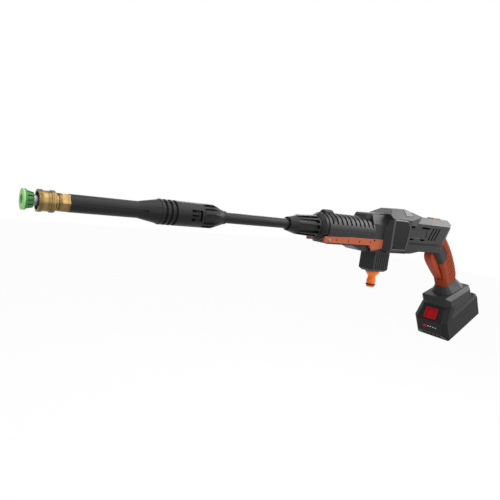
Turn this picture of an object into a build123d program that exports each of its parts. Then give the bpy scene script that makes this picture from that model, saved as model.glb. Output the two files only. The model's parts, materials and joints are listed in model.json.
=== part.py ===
from build123d import *
from math import asin, cos, degrees, hypot, radians, sin, sqrt
import os

os.makedirs("parts", exist_ok=True)

# Clearances
SEAT_GAP = 0.05  # round seats of pieces fixed to each other
SLIDE_GAP = 0.35  # pieces that move past each other
SEAM = 0.4  # joint lines between mouldings
CASE_WALL = 3.0
CUT_OVER = 2.0  # how far a cut runs past the surface it opens

# Place of the main lines, from the mouth of the hose nipple
BARREL_Z = 98.0
NOSE_REACH = 158.0
GRIP_FOOT_X = 239.0
GRIP_FOOT_DROP = 89.5
GRIP_RAKE = 28.3

# Nozzle
NOZZLE_FLANGE_R = 11.2
NOZZLE_FLANGE_LENGTH = 3.6
NOZZLE_SKIRT_LENGTH = 7.6
NOZZLE_SKIRT_FRONT_R = 10.2
NOZZLE_SKIRT_REAR_R = 8.2
NOZZLE_RECESS_R = 5.4
NOZZLE_RECESS_DEPTH = 2.0
NOZZLE_RIBS = 12
NOZZLE_RIB_GROOVE = 1.8
NOZZLE_TO_SLEEVE = 4.0
PLUG_R = 5.9
PLUG_LENGTH = 33.0
PLUG_GROOVE_R = 4.9
PLUG_BORE_R = 1.6
ORIFICE_WIDTH = 5.0
ORIFICE_HEIGHT = 2.2

# Quick coupler
SLEEVE_LENGTH = 17.0
SLEEVE_RING_R = 12.2
SLEEVE_WAIST_R = 11.2
SLEEVE_RING_LENGTH = 4.2
SLEEVE_TRAVEL = 4.0
COUPLER_BODY_R = 8.9
COUPLER_STEP = 2.0
SPRING_SEAT_R = 9.95
SPRING_SEAT_LENGTH = 2.6
SPRING_WIRE = 0.8
SPRING_POCKET_R = 10.55
SPRING_POCKET_LENGTH = 7.5
HEX_FLATS = 19.0
HEX_LENGTH = 9.0
BALL_R = 1.6
BALLS = 6
BALL_SETBACK = 7.0
COUPLER_PASSAGE_R = 4.0
PIPE_SEAT_DEPTH = 7.0

# Front lance
SHEATH_R = 10.2
SHEATH_LENGTH = 80.0
SHEATH_RIB = 0.5
FLARE_LENGTH = 27.0
FLARE_R = 15.3
RING_GROOVE_R = 13.9
RING_WIDTH = 3.0
RING_PITCH = 6.9
RINGS = 3
SOCKET_R = 16.0
SOCKET_LENGTH = 38.2
PIPE_R = 6.0
PIPE_BORE_R = 3.5
LATCH_LENGTH = 16.0
LATCH_HEIGHT = 14.0
LATCH_SLOT = 3.2
LATCH_SETBACK = 3.0

# Twist joints of the lance, front one and gun one
SPIGOT_FRONT_R = 12.0
SPIGOT_FRONT_LENGTH = 29.0
SPIGOT_NOSE_R = 9.0
SPIGOT_NOSE_LENGTH = 6.5
SPIGOT_REAR_R = 10.0
SPIGOT_REAR_LENGTH = 32.0
LUG_RISE = 1.7
LUG_LENGTH = 4.5
LUG_WIDTH = 6.0
LUG_FRONT_SETBACK = 12.0
LUG_REAR_SETBACK = 5.5
SEAL_R = 1.1

# Extension
TUBE_R = 7.5
TUBE_BORE_R = 4.0
TUBE_SEAT = 28.0
EXTENSION_LENGTH = 113.0
FRONT_GRIP_LENGTH = 39.0
FRONT_GRIP_PLAIN = 17.0
FRONT_GRIP_TIP_R = 9.2
FRONT_GRIP_NECK_R = 10.6
GRIP_TIP_LENGTH = 5.8
REAR_GRIP_LENGTH = 57.0
REAR_GRIP_TIP_R = 10.4
REAR_GRIP_RIDGE_R = 13.0
REAR_GRIP_WAIST_R = 15.0
REAR_GRIP_RIM_R = 17.2
REAR_GRIP_TIP_LENGTH = 11.0
REAR_GRIP_CONE_LENGTH = 19.0
FLUTES = 12
FLUTE_WIDTH = 5.6
FLUTE_DEPTH = 2.6

# Gun front
COLLAR_LENGTH = 12.0
COLLAR_R = 22.3
COLLAR_FRONT_R = 18.0
COLLAR_TAIL_R = 16.0
COLLAR_TAIL_LENGTH = 8.0
SOCKET_BLOCK_R = 15.0
SOCKET_BLOCK_LENGTH = 26.0
OUTLET_R = 7.0
OUTLET_SEAT = 6.0
OUTLET_SPAN = 12.0
BARREL_R = 23.5
BARREL_LENGTH = 108.0
VENT_COUNT = 10
VENT_WIDTH = 4.0
VENT_DEPTH = 1.8
VENT_LOW = 7.0
VENT_FRONT_MARGIN = 5.0
VENT_PITCH = 10.6
STRIPE_HEIGHT = 1.6
STRIPE_DEPTH = 1.0
STRIPE_DROP = 3.0
STRIPE_PITCH = 4.6
STRIPES = 2
RELEASE_LENGTH = 19.0
RELEASE_WIDTH = 11.6
RELEASE_TOP = 28.2
RELEASE_ROUND = 5.0
RELEASE_FLANGE = 1.4
RELEASE_FLANGE_HEIGHT = 1.5
RELEASE_TRAVEL = 2.2
RELEASE_SETBACK = 2.0
RELEASE_SHOULDER = 21.0

# Lower gun front and rails
CHIN_HALF = 16.5
CHIN_DROP = 25.0
CHIN_BEVEL = 6.0
BELLY_DROP = 33.0
CHIN_SLOPE_FRONT = 82.0
CHIN_SLOPE_REAR = 58.0
RAIL_OUT = 20.6
RAIL_OVERHANG = 6.0
RAIL_REAR_REACH = 10.0
RAIL_TOP_FRONT = 13.0
RAIL_TOP_REAR = 9.6
RAIL_BOTTOM = 22.4
PADDLE_FRONT_REACH = 44.0
PADDLE_TIP_REACH = 38.5
PADDLE_DROP = 31.2
PADDLE_REAR_DROP = 26.3
RAIL_SLOTS = 4
RAIL_SLOT_LENGTH = 2.4
RAIL_SLOT_HEIGHT = 4.0
RAIL_SLOT_DEPTH = 1.2
RAIL_SLOT_PITCH = 27.0

# Neck and motor block
NECK_HALF = 20.0
ROOF_HALF = 13.0
ROOF_FRONT_REACH = 57.0
ROOF_EAVE = 14.0
ROOF_FRONT_TOP = 30.4
ROOF_REAR_TOP = 33.2
BLOCK_FRONT = -4.0
BLOCK_NOSE = 7.0
BLOCK_REAR = 50.0
BLOCK_HALF = 30.0
BLOCK_SHOULDER = 27.0
BLOCK_BEVEL = 5.0
HUMP_FRONT = 10.7
HUMP_FRONT_TOP = 42.8
HUMP_REAR = 52.0
HUMP_REAR_TOP = 45.2
HUMP_END = 93.0
HUMP_HALF = 9.0
HUMP_BASE = 18.0
HUMP_TAPER_END = 76.0

# Rear body
REAR_HALF = 24.0
REAR_TOP = 35.5
REAR_TOP_HALF = 13.0
REAR_SHOULDER = 23.0
REAR_LEDGE = 12.0
REAR_LOW_HALF = 20.0
REAR_BOTTOM = 28.5
REAR_END = 194.0
REAR_CREST = 8.0
PAD_THICK = 2.4
PAD_HALF = 21.0
REAR_END_HEIGHT = 22.0
REAR_SLANT = 0.5
REAR_ROUND = 17.0
BELLY_STEP_FRONT = 72.0
BELLY_STEP_REAR = 98.0
SIDE_VENT_LENGTH = 13.0
SIDE_VENT_LONG = 26.0
SIDE_VENT_HEIGHT = 3.4
SIDE_VENT_FRONT = 57.0
SIDE_VENT_PITCH = 34.0
SIDE_VENTS = 2
SIDE_DISH = 0.8
SIDE_DISH_MARGIN = 1.4
SIDE_VENT_UP = 15.8
SIDE_VENT_DOWN = 6.2
SLOT_COUNT = 3
SLOT_WIDTH = 4.2
SLOT_FRONT = 113.0
SLOT_PITCH = 9.8
SLOT_LEAN = 14.0

# Side panel
PANEL_FRONT = -2.0
PANEL_LENGTH = 47.0
PANEL_TOP = 26.0
PANEL_BOTTOM = 28.0
PANEL_ROUND = 14.0
PANEL_CORNER = 4.0
PANEL_LEAN = 5.0
PANEL_THICK = 3.0
PANEL_SINK = 0.8
PANEL_BEVEL = 1.4
PANEL_RIM = 2.8
PANEL_DISH = 1.0

# Mode button
MODE_FRONT = 147.0
MODE_LENGTH = 26.0
MODE_WIDTH = 13.0
MODE_RISE = 1.8

# Grip and trigger
GRIP_MID_UP = 45.0
GRIP_TOP_UP = 110.0
GRIP_LOW_SHIFT = 0.5
GRIP_MID_SHIFT = -3.0
GRIP_TOP_SHIFT = -25.0
GRIP_LOW_DEPTH = 22.5
GRIP_MID_DEPTH = 23.5
GRIP_TOP_DEPTH = 25.0
GRIP_LOW_HALF = 14.0
GRIP_MID_HALF = 14.6
GRIP_TOP_HALF = 15.2
GRIP_SKIN = 2.5
GRIP_FLAT = 4.0
PATCH_ALONG = -19.5
PATCH_UP = 70.5
PATCH_R = 15.0
TRIGGER_HALF = 8.0
TRIGGER_GAP = 1.4
PIVOT_ALONG = -14.0
PIVOT_UP = 26.0
TRIGGER_TOE_R = 5.6
TRIGGER_FOOT_ALONG = -22.0
TRIGGER_FOOT_UP = 18.0
TRIGGER_KNEE_ALONG = -28.5
TRIGGER_KNEE_UP = 31.0
TRIGGER_BELLY_ALONG = -41.0
TRIGGER_BELLY_UP = 60.0
TRIGGER_BROW_ALONG = -45.5
TRIGGER_BROW_UP = 80.0
TRIGGER_TOP_ALONG = -41.0
TRIGGER_TOP_UP = 89.5
TRIGGER_BACK_ALONG = -29.0
TRIGGER_BACK_DROP = 3.5
PIN_R = 2.0
PIN_RUN = 0.06
PIN_SEAT = 1.2
SWITCH_FRONT = -9.0
SWITCH_LENGTH = 19.0
SWITCH_LOW_UP = 48.0
SWITCH_HEIGHT = 32.0
SWITCH_HALF = 8.0
PLUNGER_R = 2.5
PLUNGER_REACH = 8.0
TRIGGER_COIL_R = 3.2
TRIGGER_COIL_UP = 53.0
TRIGGER_COIL_LENGTH = 3.4

# Inlet
INLET_HALF_WIDTH = 15.7
INLET_HALF_LENGTH = 20.0
INLET_BOTTOM_DROP = 69.0
INLET_BEVEL = 4.0
INLET_RIBS = 6
INLET_RIB_PITCH = 5.4
INLET_RIB_GROOVE = 2.0
INLET_BORE_R = 8.0
NIPPLE_FLANGE_R = 12.2
NIPPLE_FLANGE_LENGTH = 2.5
NIPPLE_CONE_LENGTH = 7.0
NIPPLE_NECK_R = 6.75
NIPPLE_NECK_LENGTH = 4.0
NIPPLE_BULGE_R = 7.9
NIPPLE_BULGE_LENGTH = 7.5
NIPPLE_TIP_R = 7.2
NIPPLE_BORE_R = 4.5
NIPPLE_RING_R = 1.35
NIPPLE_RING_RISE = 4.6
NIPPLE_STEM_R = 7.0
NIPPLE_STEM_LENGTH = 8.0
FILTER_R = 7.6
FILTER_LENGTH = 13.0
FILTER_WALL = 0.8
INLET_TUBE_R = 4.0
INLET_TUBE_BORE_R = 2.6
INLET_RUN_DROP = 27.0
INLET_BEND_R = 5.0
INLET_TAP = 8.0

# Pump and motor
PUMP_R = 20.0
PUMP_LENGTH = 48.0
PISTONS = 3
PISTON_R = 4.5
PISTON_CIRCLE_R = 10.5
PISTON_LENGTH = 34.0
PISTON_INSET = 18.0
PISTON_HEAD_R = 5.6
PISTON_HEAD_LENGTH = 2.5
SWASH_R = 16.0
SWASH_THICK = 7.0
SWASH_TILT = 8.0
NECK_BORE_R = 17.6
MOTOR_R = 21.5
MOTOR_LENGTH = 60.0
MOTOR_WALL = 1.6
MOTOR_PLATE = 4.0
ROTOR_R = 15.0
ROTOR_LENGTH = 40.0
ROTOR_SLOTS = 7
ROTOR_SLOT_WIDTH = 2.0
ROTOR_SLOT_DEPTH = 5.0
SHAFT_R = 2.5
MAGNET_THICK = 4.0
BEARING_R = 6.5
FAN_R = 18.0
FAN_HUB_R = 5.0
FAN_WIDTH = 7.0
FAN_BLADES = 8
FAN_BLADE_THICK = 1.4
BOARD_LENGTH = 62.0
BOARD_THICK = 1.6
BOARD_FRONT = 94.0
BOARD_UP = 20.0
CAVITY_TOP = 31.0
CAVITY_LOW = 8.0
CAVITY_REAR_WALL = 8.0

# Battery foot, in the grip's own frame
NECK_BASE_SHIFT = 4.0
NECK_BASE_DEPTH = 34.0
NECK_BASE_HALF = 23.0
NECK_ROOT = 5.0
FOOT_FRONT = -46.0
FOOT_REAR = 43.0
FOOT_HALF = 33.0
FOOT_BOTTOM = 50.0
FOOT_FRONT_TOP = 11.0
FOOT_REAR_TOP = 23.0
FOOT_BROW = 24.0
FOOT_FRONT_BEVEL = 4.0
FOOT_REAR_BEVEL = 3.0
FOOT_CORNER = 10.0
FOOT_MOUTH = 32.0
FOOT_EAVE = 7.0
FOOT_RIDGE_HALF = 26.0
CHANNEL_HALF = 25.6
CHANNEL_REAR = 31.0
SLIDE_RAIL_DEPTH = 3.4
SLIDE_RAIL_HEIGHT = 4.0
SLIDE_RAIL_DROP = 42.0
BLADES = 4
BLADE_THICK = 1.2
BLADE_HEIGHT = 7.0
BLADE_LENGTH = 14.0
BLADE_PITCH = 9.0
TERMINAL_HALF = 19.0
TERMINAL_LENGTH = 6.0

# Battery
PACK_FRONT = -71.0
PACK_REAR = 58.0
PACK_HALF = 37.0
PACK_BOTTOM = 99.5
PACK_SPLIT = 76.0
PACK_CORNER = 9.0
PACK_EDGE = 3.0
PACK_LIP = 54.5
PACK_NOSE_DROP = 84.0
PACK_NOSE_RUN = 9.0
PACK_WALL = 2.4
HOUSING_TOP = 33.0
HOUSING_RUN = 16.0
PACK_BUTTON_LENGTH = 22.5
PACK_BUTTON_HALF = 13.5
PACK_BUTTON_THICK = 5.0
PACK_BUTTON_RISE = 1.2
PACK_BUTTON_TRAVEL = 2.5
PACK_BUTTON_RIM = 2.4
PACK_BUTTON_DISH = 3.0
CELL_R = 9.1
CELL_LENGTH = 65.0
CELL_ROWS = 2
CELLS_PER_ROW = 5
CELL_GAP = 0.3
CELL_FRONT = -47.0
LAMP_DROP = 68.5
LAMP_R = 1.1
LAMP_PITCH = 5.6
LAMPS = 4
CHARGE_HALF = 3.6
CHARGE_HEIGHT = 5.6
CHARGE_SIDE = 9.5
CHARGE_TRAVEL = 0.8
PACK_BOARD_THICK = 1.6

# Stations along the barrel, counted forward from the gun's nose
nose_x = -NOSE_REACH
barrel_front = nose_x + COLLAR_LENGTH
barrel_rear = barrel_front + BARREL_LENGTH
rail_front = barrel_front - RAIL_OVERHANG
rear_grip_rear = nose_x - SEAM
rear_grip_front = rear_grip_rear - REAR_GRIP_LENGTH
front_grip_rear = rear_grip_front - EXTENSION_LENGTH
front_grip_front = front_grip_rear - FRONT_GRIP_LENGTH
socket_rear = front_grip_front - SEAM
socket_front = socket_rear - SOCKET_LENGTH
rings_front = socket_front - RINGS * RING_PITCH
flare_front = rings_front - FLARE_LENGTH
sheath_front = flare_front - SHEATH_LENGTH
hex_front = sheath_front - HEX_LENGTH
sleeve_rear = hex_front - SPRING_SEAT_LENGTH - SLEEVE_TRAVEL
sleeve_front = sleeve_rear - SLEEVE_LENGTH
coupler_front = sleeve_front + COUPLER_STEP
skirt_rear = sleeve_front - NOZZLE_TO_SLEEVE
flange_rear = skirt_rear - NOZZLE_SKIRT_LENGTH
nozzle_front = flange_rear - NOZZLE_FLANGE_LENGTH
plug_front = nozzle_front + NOZZLE_RECESS_DEPTH
plug_rear = plug_front + PLUG_LENGTH
ball_x = sleeve_front + BALL_SETBACK
spigot_nose_front = front_grip_front - SPIGOT_FRONT_LENGTH - SPIGOT_NOSE_LENGTH
spigot_front = front_grip_front - SPIGOT_FRONT_LENGTH
spigot_rear = rear_grip_rear + SPIGOT_REAR_LENGTH
socket_block_front = barrel_front + COLLAR_TAIL_LENGTH
socket_block_rear = socket_block_front + SOCKET_BLOCK_LENGTH
pump_front = socket_block_rear + OUTLET_SPAN
pump_rear = pump_front + PUMP_LENGTH

# Frames
side = Plane(origin=(0, 0, BARREL_Z), x_dir=(1, 0, 0), z_dir=(0, -1, 0))
barrel = Axis((0, 0, BARREL_Z), (1, 0, 0))
rake = radians(GRIP_RAKE)
along_dir = (cos(rake), 0, sin(rake))
up_dir = (-sin(rake), 0, cos(rake))
foot_origin = (GRIP_FOOT_X, 0, BARREL_Z - GRIP_FOOT_DROP)
foot = Plane(origin=foot_origin, x_dir=along_dir, z_dir=up_dir)
foot_side = Plane(origin=foot_origin, x_dir=along_dir, z_dir=(0, -1, 0))


def across(x):
    # Section plane of the barrel at x, with its own x to the right side and y up
    return Plane(origin=(x, 0, BARREL_Z), x_dir=(0, 1, 0), z_dir=(1, 0, 0))


def radial(angle):
    # Plane through the barrel axis, turned from upright toward the left side
    turn_by = radians(angle)
    return Plane(
        origin=(0, 0, BARREL_Z), x_dir=(1, 0, 0), z_dir=(0, -cos(turn_by), -sin(turn_by))
    )


def tangent(angle, radius):
    # Plane that faces outward from the barrel axis at the given angle and radius
    turn_by = radians(angle)
    outward = (0, -sin(turn_by), cos(turn_by))
    return Plane(origin=(0, 0, BARREL_Z), x_dir=(1, 0, 0), z_dir=outward).offset(radius)


def polygon(plane, points):
    with BuildSketch(plane) as outline:
        with BuildLine():
            Polyline(*points, close=True)
        make_face()
    return outline.sketch


def turned(points, mode=Mode.ADD):
    # Solid of revolution about the barrel axis from (x, radius) points
    revolve(polygon(side, points), axis=barrel, mode=mode)


def rod(x_start, x_end, radius, mode=Mode.ADD):
    turned([(x_start, 0), (x_start, radius), (x_end, radius), (x_end, 0)], mode)


def slab(plane, points, half, mode=Mode.ADD):
    # Flat outline thickened to both sides of its plane
    extrude(polygon(plane, points), amount=half, both=True, mode=mode)


def block(plane, x_start, x_end, y_start, y_end, half, mode=Mode.ADD):
    corners = [(x_start, y_start), (x_end, y_start), (x_end, y_end), (x_start, y_end)]
    slab(plane, corners, half, mode)


def long_grooves(x_start, x_end, width, floor_r, top_r, count, mode=Mode.SUBTRACT):
    # Round-ended grooves along the barrel, spaced evenly around it
    for index in range(count):
        with BuildSketch(tangent(index * 360 / count, floor_r)) as groove:
            with Locations(((x_start + x_end) / 2, 0)):
                SlotOverall(x_end - x_start, width)
        extrude(groove.sketch, amount=top_r - floor_r + CUT_OVER, mode=mode)


def lugs(x_start, x_end, width, floor_r, top_r, mode=Mode.ADD):
    # Pair of keys on the top and bottom of a spigot
    for turn_by in (0, 180):
        with BuildSketch(tangent(turn_by, floor_r)) as key:
            with Locations(((x_start + x_end) / 2, 0)):
                Rectangle(x_end - x_start, width)
        extrude(key.sketch, amount=top_r - floor_r, mode=mode)


def ring_seal(x, centre_r, wire_r):
    with BuildSketch(side) as section:
        with Locations((x, centre_r)):
            Circle(wire_r)
    revolve(section.sketch, axis=barrel)


def coil(start, direction, length, radius, wire, turns):
    # Square-wire coil spring
    with BuildLine() as path:
        Helix(pitch=length / turns, height=length, radius=radius, center=start, direction=direction)
    start_plane = Plane(origin=path.line @ 0, z_dir=path.line % 0)
    with BuildSketch(start_plane) as section:
        Rectangle(wire, wire)
    sweep(section.sketch, path=path.line, is_frenet=True)


def pipe_along(route, radius, mode=Mode.ADD):
    # Round bar along a bent route on the gun's middle plane
    with BuildLine(side) as path:
        FilletPolyline(*route, radius=INLET_BEND_R)
    with BuildSketch(Plane(origin=path.line @ 0, z_dir=path.line % 0)) as section:
        Circle(radius)
    sweep(section.sketch, path=path.line, mode=mode)


def save(piece, label):
    piece.part.label = label
    export_step(piece.part, f"parts/{label}.step")


# Nozzle
with BuildPart() as nozzle_skirt:
    turned(
        [
            (nozzle_front, 0),
            (nozzle_front, NOZZLE_FLANGE_R),
            (flange_rear, NOZZLE_FLANGE_R),
            (flange_rear, NOZZLE_SKIRT_FRONT_R),
            (skirt_rear, NOZZLE_SKIRT_REAR_R),
            (skirt_rear, 0),
        ]
    )
    long_grooves(
        flange_rear + NOZZLE_RIB_GROOVE / 2,
        skirt_rear + NOZZLE_RIB_GROOVE,
        NOZZLE_RIB_GROOVE,
        NOZZLE_SKIRT_REAR_R - NOZZLE_RIB_GROOVE / 2,
        NOZZLE_SKIRT_FRONT_R,
        NOZZLE_RIBS,
    )
    rod(nozzle_front, plug_front, NOZZLE_RECESS_R, Mode.SUBTRACT)
    rod(plug_front, skirt_rear, PLUG_R + SEAT_GAP, Mode.SUBTRACT)
save(nozzle_skirt, "nozzle_skirt")

with BuildPart() as nozzle_plug:
    rod(plug_front, plug_rear, PLUG_R)
    chamfer(nozzle_plug.faces().sort_by(Axis.X)[-1].edges(), length=PLUG_R / 6)
    groove_r = (PLUG_R + PLUG_GROOVE_R) / 2
    turned(
        [
            (ball_x - BALL_R, PLUG_R + CUT_OVER),
            (ball_x - BALL_R, groove_r),
            (ball_x, PLUG_GROOVE_R),
            (ball_x + BALL_R, groove_r),
            (ball_x + BALL_R, PLUG_R + CUT_OVER),
        ],
        Mode.SUBTRACT,
    )
    with BuildSketch(across(plug_front)) as orifice:
        SlotOverall(ORIFICE_WIDTH, ORIFICE_HEIGHT)
    extrude(orifice.sketch, amount=ORIFICE_HEIGHT, mode=Mode.SUBTRACT)
    rod(plug_front, plug_rear, PLUG_BORE_R, Mode.SUBTRACT)
save(nozzle_plug, "nozzle_plug")

# Quick coupler
coupler_bore_r = PLUG_R + SLIDE_GAP
coupler_bore_end = plug_rear + COUPLER_STEP
pipe_front = sheath_front - PIPE_SEAT_DEPTH
seal_x = (ball_x + BALL_R + coupler_bore_end) / 2
seal_seat_r = coupler_bore_r + 2 * SEAL_R - SLIDE_GAP / 2

with BuildPart() as coupler_body:
    rod(coupler_front, hex_front, COUPLER_BODY_R)
    rod(hex_front - SPRING_SEAT_LENGTH, hex_front, SPRING_SEAT_R)
    with BuildSketch(across(hex_front)) as hexagon:
        RegularPolygon(HEX_FLATS / 2, 6, major_radius=False)
    extrude(hexagon.sketch, amount=HEX_LENGTH)
    rod(coupler_front, coupler_bore_end, coupler_bore_r, Mode.SUBTRACT)
    rod(coupler_bore_end, sheath_front, COUPLER_PASSAGE_R, Mode.SUBTRACT)
    rod(pipe_front, sheath_front, PIPE_R + SEAT_GAP, Mode.SUBTRACT)
    rod(seal_x - SEAL_R - SEAT_GAP, seal_x + SEAL_R + SEAT_GAP, seal_seat_r, Mode.SUBTRACT)
    for index in range(BALLS):
        with BuildSketch(tangent(index * 360 / BALLS, 0)) as ball_hole:
            with Locations((ball_x, 0)):
                Circle(BALL_R + SEAT_GAP)
        extrude(ball_hole.sketch, amount=COUPLER_BODY_R + CUT_OVER, mode=Mode.SUBTRACT)
save(coupler_body, "coupler_body")

with BuildPart() as coupler_balls:
    for index in range(BALLS):
        ball_angle = radians(index * 360 / BALLS)
        ball_centre_r = coupler_bore_r + BALL_R
        ball_place = (
            ball_x,
            -ball_centre_r * sin(ball_angle),
            BARREL_Z + ball_centre_r * cos(ball_angle),
        )
        with Locations(ball_place):
            Sphere(BALL_R)
save(coupler_balls, "coupler_balls")

with BuildPart() as coupler_seal:
    ring_seal(seal_x, seal_seat_r - SEAT_GAP - SEAL_R, SEAL_R)
save(coupler_seal, "coupler_seal")

sleeve_bore_r = coupler_bore_r + 2 * BALL_R + SLIDE_GAP
pocket_front = sleeve_rear - SPRING_POCKET_LENGTH
with BuildPart() as coupler_sleeve:
    turned(
        [
            (sleeve_front, 0),
            (sleeve_front, SLEEVE_RING_R),
            (sleeve_front + SLEEVE_RING_LENGTH, SLEEVE_RING_R),
            (sleeve_front + SLEEVE_RING_LENGTH, SLEEVE_WAIST_R),
            (sleeve_rear - SLEEVE_RING_LENGTH, SLEEVE_WAIST_R),
            (sleeve_rear - SLEEVE_RING_LENGTH, SLEEVE_RING_R),
            (sleeve_rear, SLEEVE_RING_R),
            (sleeve_rear, 0),
        ]
    )
    rod(sleeve_front, sleeve_rear, sleeve_bore_r, Mode.SUBTRACT)
    rod(pocket_front, sleeve_rear, SPRING_POCKET_R, Mode.SUBTRACT)
save(coupler_sleeve, "coupler_sleeve")

spring_length = hex_front - SPRING_SEAT_LENGTH - pocket_front - SPRING_WIRE - 2 * SEAM
with BuildPart() as coupler_spring:
    coil(
        (pocket_front + SPRING_WIRE / 2 + SEAM, 0, BARREL_Z),
        (1, 0, 0),
        spring_length,
        (COUPLER_BODY_R + SPRING_POCKET_R) / 2,
        SPRING_WIRE,
        4,
    )
save(coupler_spring, "coupler_spring")

# Front lance
lug_ring_front = front_grip_front - LUG_FRONT_SETBACK - LUG_LENGTH - SEAM
lug_ring_rear = front_grip_front - LUG_FRONT_SETBACK + SEAM
front_lug_r = SPIGOT_FRONT_R + LUG_RISE
front_lug_room_r = hypot(front_lug_r, LUG_WIDTH / 2) + SLIDE_GAP
nose_bore_front = spigot_nose_front - SEAM
spigot_bore_front = spigot_front - SEAM
with BuildPart() as front_sheath:
    ring_points = []
    for index in range(RINGS):
        ring_x = rings_front + index * RING_PITCH
        ring_points += [
            (ring_x, SOCKET_R),
            (ring_x + RING_WIDTH, SOCKET_R),
            (ring_x + RING_WIDTH, RING_GROOVE_R),
            (ring_x + RING_PITCH, RING_GROOVE_R),
        ]
    turned(
        [
            (sheath_front, 0),
            (sheath_front, SHEATH_R),
            (flare_front, SHEATH_R),
            (rings_front, FLARE_R),
            *ring_points,
            (socket_front, SOCKET_R),
            (socket_rear, SOCKET_R),
            (socket_rear, 0),
        ]
    )
    long_grooves(
        sheath_front + SHEATH_R,
        flare_front + SHEATH_R,
        SHEATH_RIB * 4,
        SHEATH_R - SHEATH_RIB,
        SHEATH_R,
        4,
    )
    rod(sheath_front, nose_bore_front, PIPE_R + SEAT_GAP, Mode.SUBTRACT)
    rod(nose_bore_front, spigot_bore_front, SPIGOT_NOSE_R + SLIDE_GAP, Mode.SUBTRACT)
    rod(spigot_bore_front, socket_rear, SPIGOT_FRONT_R + SLIDE_GAP, Mode.SUBTRACT)
    rod(lug_ring_front, lug_ring_rear, front_lug_room_r, Mode.SUBTRACT)
    lugs(
        lug_ring_front,
        socket_rear,
        LUG_WIDTH + 2 * SLIDE_GAP,
        0,
        front_lug_r + SLIDE_GAP,
        Mode.SUBTRACT,
    )
    latch_rear = socket_rear - LATCH_SETBACK
    latch_front = latch_rear - LATCH_LENGTH
    latch_plane = tangent(90, SPIGOT_FRONT_R)
    with BuildSketch(latch_plane) as latch_slot:
        with Locations(((latch_front + latch_rear) / 2, 0)):
            Rectangle(LATCH_LENGTH, LATCH_HEIGHT)
        with Locations((latch_front + (LATCH_LENGTH - LATCH_SLOT) / 2, 0)):
            Rectangle(LATCH_LENGTH - LATCH_SLOT, LATCH_HEIGHT - 2 * LATCH_SLOT, mode=Mode.SUBTRACT)
    extrude(latch_slot.sketch, amount=SOCKET_R, mode=Mode.SUBTRACT)
save(front_sheath, "front_sheath")

with BuildPart() as front_pipe:
    rod(pipe_front, nose_bore_front, PIPE_R)
    rod(pipe_front, nose_bore_front, PIPE_BORE_R, Mode.SUBTRACT)
save(front_pipe, "front_pipe")

# Extension
front_tube_end = front_grip_rear - TUBE_SEAT
rear_tube_end = rear_grip_front + TUBE_SEAT
front_seal_x = spigot_nose_front + SPIGOT_NOSE_LENGTH / 2
rear_seal_x = spigot_rear - SPIGOT_NOSE_LENGTH / 2
with BuildPart() as front_collar:
    plain_end = front_grip_front + FRONT_GRIP_PLAIN
    tip_front = front_grip_rear - GRIP_TIP_LENGTH
    turned(
        [
            (spigot_nose_front, 0),
            (spigot_nose_front, SPIGOT_NOSE_R),
            (spigot_front, SPIGOT_NOSE_R),
            (spigot_front, SPIGOT_FRONT_R),
            (front_grip_front, SPIGOT_FRONT_R),
            (front_grip_front, SOCKET_R),
            (plain_end, SOCKET_R),
            (tip_front, FRONT_GRIP_NECK_R),
            (tip_front, FRONT_GRIP_TIP_R),
            (front_grip_rear, FRONT_GRIP_TIP_R),
            (front_grip_rear, 0),
        ]
    )
    long_grooves(
        front_grip_front + SEAM,
        tip_front + FLUTE_WIDTH,
        FLUTE_WIDTH,
        SOCKET_R - FLUTE_DEPTH,
        SOCKET_R,
        FLUTES,
    )
    lugs(
        front_grip_front - LUG_FRONT_SETBACK - LUG_LENGTH,
        front_grip_front - LUG_FRONT_SETBACK,
        LUG_WIDTH,
        0,
        front_lug_r,
    )
    ring_floor_r = SPIGOT_NOSE_R + SLIDE_GAP - 2 * SEAL_R
    turned(
        [
            (front_seal_x - SEAL_R - SEAT_GAP, SPIGOT_NOSE_R + CUT_OVER),
            (front_seal_x - SEAL_R - SEAT_GAP, ring_floor_r - 2 * SEAT_GAP),
            (front_seal_x + SEAL_R + SEAT_GAP, ring_floor_r - 2 * SEAT_GAP),
            (front_seal_x + SEAL_R + SEAT_GAP, SPIGOT_NOSE_R + CUT_OVER),
        ],
        Mode.SUBTRACT,
    )
    rod(spigot_nose_front, front_grip_rear, TUBE_BORE_R, Mode.SUBTRACT)
    rod(front_tube_end, front_grip_rear, TUBE_R + SEAT_GAP, Mode.SUBTRACT)
save(front_collar, "front_collar")

with BuildPart() as front_lance_seal:
    ring_seal(front_seal_x, SPIGOT_NOSE_R + SLIDE_GAP - SEAT_GAP - SEAL_R, SEAL_R)
save(front_lance_seal, "front_lance_seal")

with BuildPart() as extension_tube:
    rod(front_tube_end, rear_tube_end, TUBE_R)
    rod(front_tube_end, rear_tube_end, TUBE_BORE_R, Mode.SUBTRACT)
save(extension_tube, "extension_tube")

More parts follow.
